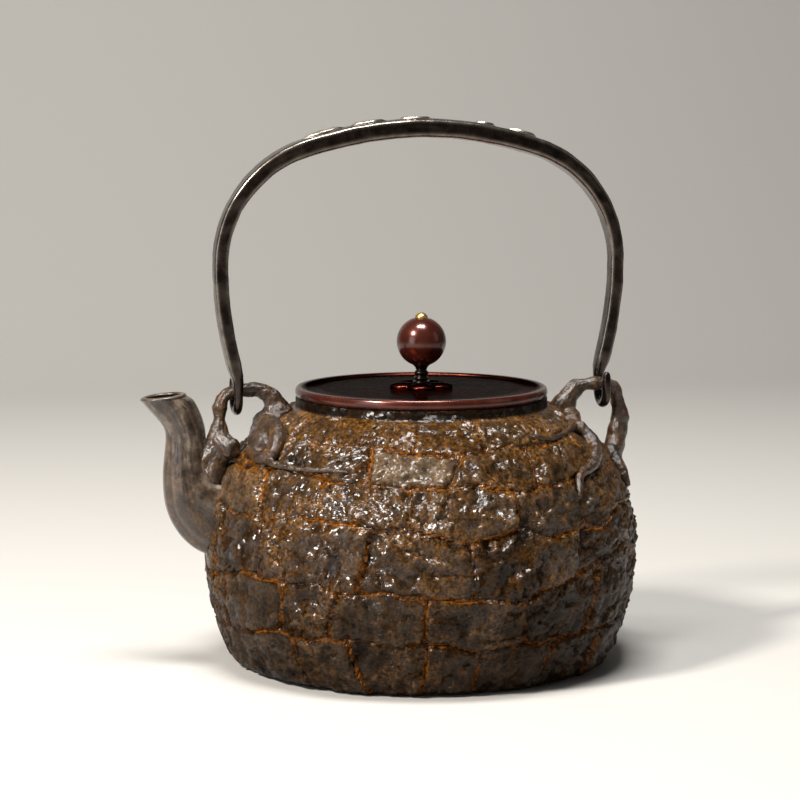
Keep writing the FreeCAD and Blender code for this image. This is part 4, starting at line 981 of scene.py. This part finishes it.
# Bronze under a red-brown patina: deep and clouded, polished like lacquer on the rim and the ball, and darker
# and barer on the flat of the lid.
cloud_size = 14
rim_shine = 0.7
ball_shine = 0.8
bronze, bronze_shader = new_material("bronze_red_patina_polished", coat_roughness=0.18)
where = add(bronze, "ShaderNodeTexCoord").outputs["Object"]
cloud = add(bronze, "ShaderNodeTexNoise",
            {"Vector": where, "Scale": 1 / (cloud_size * MM), "Detail": 6.0,
             "Roughness": 0.6}).outputs["Fac"]
bronze_colour = add(bronze, "ShaderNodeValToRGB", {"Fac": cloud},
                    stops=((0.3, "#32120b"), (0.7, "#5c2a1e"), (0.5, "#451d14"))).outputs[0]
bronze_gloss = add(bronze, "ShaderNodeMapRange", {"Value": cloud, "To Min": 0.2, "To Max": 0.34}).outputs[0]
bronze_shader.inputs["Specular Tint"].default_value = linear("#1c0d0a")
lacquer = add(bronze, "ShaderNodeAttribute", attribute_name="lacquer").outputs["Fac"]
bare_share = add(bronze, "ShaderNodeMapRange", {"Value": lacquer, "To Min": 1.0, "To Max": 0.35}).outputs[0]
link_shader(bronze, bronze_shader, {"Base Color": bronze_colour, "Roughness": bronze_gloss,
                                    "Coat Weight": lacquer, "Metallic": bare_share})
rim_lacquer = np.where(lid_line[:, 0] > lid_radius - lid_bead, rim_shine, 0.0)
piece("lid_disc", *turned(lid_line), bronze, "lid", "patina_bronze", ["lid_plate"],
      {"lacquer": np.repeat(rim_lacquer, turned_columns)})
flange_line = rounded([(flange_radius - flange_wall, flange_foot), (flange_radius, flange_foot),
                       (flange_radius, mouth_height), (flange_radius - flange_wall, mouth_height)])
piece("lid_ring", *turned(flange_line), bronze, "lid", "patina_bronze", ["lid_flange"])

# Knob. A five-petalled washer, a turned pin with beads, a ball and a gold-coloured cap; the pin goes through
# the lid and is riveted over a plain washer below.
petal_pitch = 7.4
petal_radius = 5.6
petal_turn = math.radians(-100)
washer_rings = 26
washer_columns = 150
washer_turn = np.linspace(0, 2 * np.pi, washer_columns, endpoint=False)
petal_count = 5
petal_angles = [petal_turn + number * 2 * np.pi / petal_count for number in range(petal_count)]
petal_centres = [(petal_pitch * math.cos(angle_now), petal_pitch * math.sin(angle_now))
                 for angle_now in petal_angles]
washer_hole = 3.5
washer_middle = 1.5
petal_edge = 0.9
petal_dome = 1.5


def petal_rise(x, y):
    """Height of the washer over the lid at a place, domed over each petal and sunk between them."""
    rise = np.full(np.shape(x), -1.0)
    for centre_x, centre_y in petal_centres:
        apart = np.hypot(x - centre_x, y - centre_y) / petal_radius
        dome = petal_edge + petal_dome * np.sqrt(np.maximum(1 - apart ** 2, 0))
        rise = np.maximum(rise, np.where(apart < 1, dome, -1))
    return np.maximum(rise, np.where(np.hypot(x, y) < petal_pitch, washer_middle, -1.0))


rim_reach = np.full(washer_columns, petal_pitch)
for centre_x, centre_y in petal_centres:
    along = centre_x * np.cos(washer_turn) + centre_y * np.sin(washer_turn)
    root_term = petal_radius ** 2 - (petal_pitch ** 2 - along ** 2)
    petal_reach = along + np.sqrt(np.maximum(root_term, 0))
    rim_reach = np.maximum(rim_reach, np.where((root_term > 0) & (along > 0), petal_reach, 0))
washer_points = []
for share in np.linspace(0, 1, washer_rings):
    reach = washer_hole + (rim_reach - 0.02 - washer_hole) * share ** 0.7
    x, y = reach * np.cos(washer_turn), reach * np.sin(washer_turn)
    washer_points.append(np.stack([x, y, lid_field + petal_rise(x, y)], axis=1))
for reach in (rim_reach, np.full(washer_columns, washer_hole)):
    washer_points.append(np.stack([reach * np.cos(washer_turn), reach * np.sin(washer_turn),
                                   np.full(washer_columns, lid_field)], axis=1))
washer_points = np.array(washer_points)
washer_faces = quads(len(washer_points), washer_columns, closed_rows=True)[:, ::-1]
piece("knob_blossom", washer_points, washer_faces, bronze, "lid", "washer_bronze", ["knob_washer"])

ball_radius = 10
ball_height = lid_top + 18
ball_flat = 3.4
ball_drop = math.sqrt(ball_radius ** 2 - ball_flat ** 2)
collar_foot = lid_field + washer_middle
bead_one = collar_foot + 1.2
bead_pitch = 2.2
pin_radius = 2
pin_tip_radius = 1.2
pin_tip_rise = 1.4
bead_rise = 0.9
bead_count = 2
under_washer = 1.2
under_washer_radius = 6
pin_line = [(centre_hole, lid_under - 2.4), (2.6, lid_under - 2.3), (2.9, lid_under - 1.9),
            (2.6, lid_under - under_washer), (pin_radius, lid_under - under_washer),
            (pin_radius, collar_foot), (3.2, collar_foot), (3.4, collar_foot + 0.2), (3.4, bead_one - 0.2),
            (3.2, bead_one)]
for number in range(bead_count):
    for share in np.linspace(0.05, 0.95, 9):
        pin_line.append((pin_radius + bead_rise * math.sin(share * np.pi) ** 0.7,
                         bead_one + bead_pitch * (number + share)))
ball_foot = ball_height - ball_drop
cap_foot = ball_height + ball_drop
pin_line += [(2.05, bead_one + bead_count * bead_pitch), (2.6, ball_foot - 0.9), (3.3, ball_foot - 0.2),
             (3.3, ball_foot), (pin_radius, ball_foot), (pin_radius, cap_foot), (pin_tip_radius, cap_foot),
             (pin_tip_radius, cap_foot + pin_tip_rise), (centre_hole, cap_foot + pin_tip_rise)]
# Turned bronze gone dark: near black, with fine tool rings that catch the light.
tool_pitch = 0.5
pin_bronze, pin_shader = new_material("bronze_turned_dark", metallic=0.8)
where = add(pin_bronze, "ShaderNodeTexCoord").outputs["Object"]
ringed = add(pin_bronze, "ShaderNodeMapping", {"Vector": where, "Scale": (0.1, 0.1, 1.0)}).outputs[0]
tool_rings = add(pin_bronze, "ShaderNodeTexNoise",
                 {"Vector": ringed, "Scale": 1 / (tool_pitch * MM), "Detail": 3.0}).outputs["Fac"]
pin_colour = add(pin_bronze, "ShaderNodeValToRGB", {"Fac": tool_rings},
                 stops=((0.3, "#150f0d"), (0.7, "#2d221d"), (0.5, "#1e1613"))).outputs[0]
pin_gloss = add(pin_bronze, "ShaderNodeMapRange",
                {"Value": tool_rings, "To Min": 0.22, "To Max": 0.36}).outputs[0]
pin_bump = add(pin_bronze, "ShaderNodeBump",
               {"Height": tool_rings, "Distance": 0.08 * MM, "Strength": 0.4}).outputs[0]
link_shader(pin_bronze, pin_shader, {"Base Color": pin_colour, "Roughness": pin_gloss, "Normal": pin_bump})
piece("knob_stem", *turned(pin_line, 64), pin_bronze, "lid", "pin_bronze", ["knob_pin"])
ball_columns = 128
ball_end = math.acos(ball_flat / ball_radius)
ball_line = [(pin_hole, ball_foot)]
ball_line += [(ball_radius * math.cos(a), ball_height + ball_radius * math.sin(a))
              for a in np.linspace(-ball_end, ball_end, 61)]
ball_line.append((pin_hole, cap_foot))
piece("knob_bead", *turned(ball_line, ball_columns), bronze, "lid", "patina_bronze", ["knob_ball"],
      {"lacquer": np.full(ball_columns * len(ball_line), ball_shine)})
# radius, and height over the cap's foot, of the cap's hollow and then of its dome
cap_rings = ((centre_hole, 1.6), (1.3, 1.5), (1.3, 0), (2.5, 0), (2.6, 0.15), (2.6, 0.7), (2.4, 1.1),
             (1.9, 1.7), (1.2, 2.15), (0.5, 2.38), (centre_hole, 2.4))
cap_line = [(radius, cap_foot + rise) for radius, rise in cap_rings]
# Gilt brass: warm yellow and bright, a little browner and duller where fingers have worn it.
wear_size = 1.4
gilt, gilt_shader = new_material("brass_gilt_polished", metallic=1.0)
where = add(gilt, "ShaderNodeTexCoord").outputs["Object"]
wear = add(gilt, "ShaderNodeTexNoise",
           {"Vector": where, "Scale": 1 / (wear_size * MM), "Detail": 4.0}).outputs["Fac"]
gilt_colour = add(gilt, "ShaderNodeValToRGB", {"Fac": wear},
                  stops=((0.3, "#b58845"), (0.7, "#efcf93"), (0.5, "#e3bb78"))).outputs[0]
gilt_gloss = add(gilt, "ShaderNodeMapRange", {"Value": wear, "To Min": 0.42, "To Max": 0.26}).outputs[0]
link_shader(gilt, gilt_shader, {"Base Color": gilt_colour, "Roughness": gilt_gloss})
piece("knob_gilt_cap", *turned(cap_line, 64), gilt, "lid", "gilt_brass", ["knob_cap"])
under_line = rounded([(pin_hole, lid_under - under_washer), (under_washer_radius, lid_under - under_washer),
                      (under_washer_radius, lid_under), (pin_hole, lid_under)], 0.2)
piece("rivet_washer", *turned(under_line, 96), pin_bronze, "lid", "pin_bronze", ["pin_washer"])

# Studio. A plain pale floor, soft lights and the camera a little above the pot, turned to show more of the
# spout side.
floor_front = -3.0
floor_back = 0.9
cove_round = 0.7
cove_top = 4.0
cove_half = 4.0
cove = [(floor_front, 0.0), (floor_back, 0.0)]
cove += [(floor_back + cove_round * math.sin(bend), cove_round * (1 - math.cos(bend)))
         for bend in np.linspace(0, 0.5 * np.pi, 24)[1:]]
cove.append((floor_back + cove_round, cove_top))
floor_mesh = bpy.data.meshes.new("studio_floor")
floor_mesh.from_pydata([(side * cove_half, reach, level) for reach, level in cove for side in (-1, 1)], [],
                       [(2 * row, 2 * row + 1, 2 * row + 3, 2 * row + 2) for row in range(len(cove) - 1)])
floor_mesh.shade_smooth()
floor = bpy.data.objects.new("studio_floor", floor_mesh)
bpy.context.scene.collection.objects.link(floor)
# Matt backdrop paper: one even pale grey.
floor_paint, floor_shader = new_material("pale_backdrop", roughness=0.7)
floor_shader.inputs["Base Color"].default_value = linear("#b1aea9")
floor_mesh.materials.append(floor_paint)
pot_middle = Vector((0, 0, 0.09))
# name, place, size each way, power and colour of each soft light, aimed at the middle of the pot
lights = (
    ("key_light", (-1.0, -0.62, 1.1), (0.22, 0.22), 40, "#fffaf3"),
    ("side_light", (-1.25, -0.85, 0.35), (0.7, 0.7), 5, "#f6f8ff"),
    ("fill_light", (1.2, -0.5, 0.6), (0.5, 0.8), 0.6, "#fffaf3"),
    ("top_light", (-0.05, -0.2, 1.3), (0.55, 0.3), 24, "#ffffff"),
)
for name, place, extent, power, colour in lights:
    light = bpy.data.lights.new(name, "AREA")
    light.shape = "RECTANGLE"
    light.size, light.size_y = extent
    light.energy = power
    light.color = linear(colour)[:3]
    lamp = bpy.data.objects.new(name, light)
    lamp.location = place
    aim = pot_middle - lamp.location
    lamp.rotation_euler = aim.to_track_quat("-Z", "Y").to_euler()
    bpy.context.scene.collection.objects.link(lamp)
world = bpy.data.worlds.new("studio")
world.use_nodes = True
world.node_tree.nodes["Background"].inputs["Color"].default_value = linear("#f4f3f1")
world.node_tree.nodes["Background"].inputs["Strength"].default_value = 0.07
bpy.context.scene.world = world
camera_data = bpy.data.cameras.new("camera")
camera_data.lens = 117.6
camera_data.sensor_width = 36
camera_data.clip_start = 0.05
camera = bpy.data.objects.new("camera", camera_data)
camera_away = 1.05
camera_height = 0.235
camera_azimuth = math.radians(10)
camera_pitch = math.radians(90 - 7.05)
camera_heading = math.radians(-9.53)
camera.location = (-camera_away * math.sin(camera_azimuth), -camera_away * math.cos(camera_azimuth),
                   camera_height)
camera.rotation_euler = (camera_pitch, 0, camera_heading)
bpy.context.scene.collection.objects.link(camera)
bpy.context.scene.camera = camera
bpy.context.scene.view_settings.view_transform = "Standard"

bpy.context.view_layer.update()
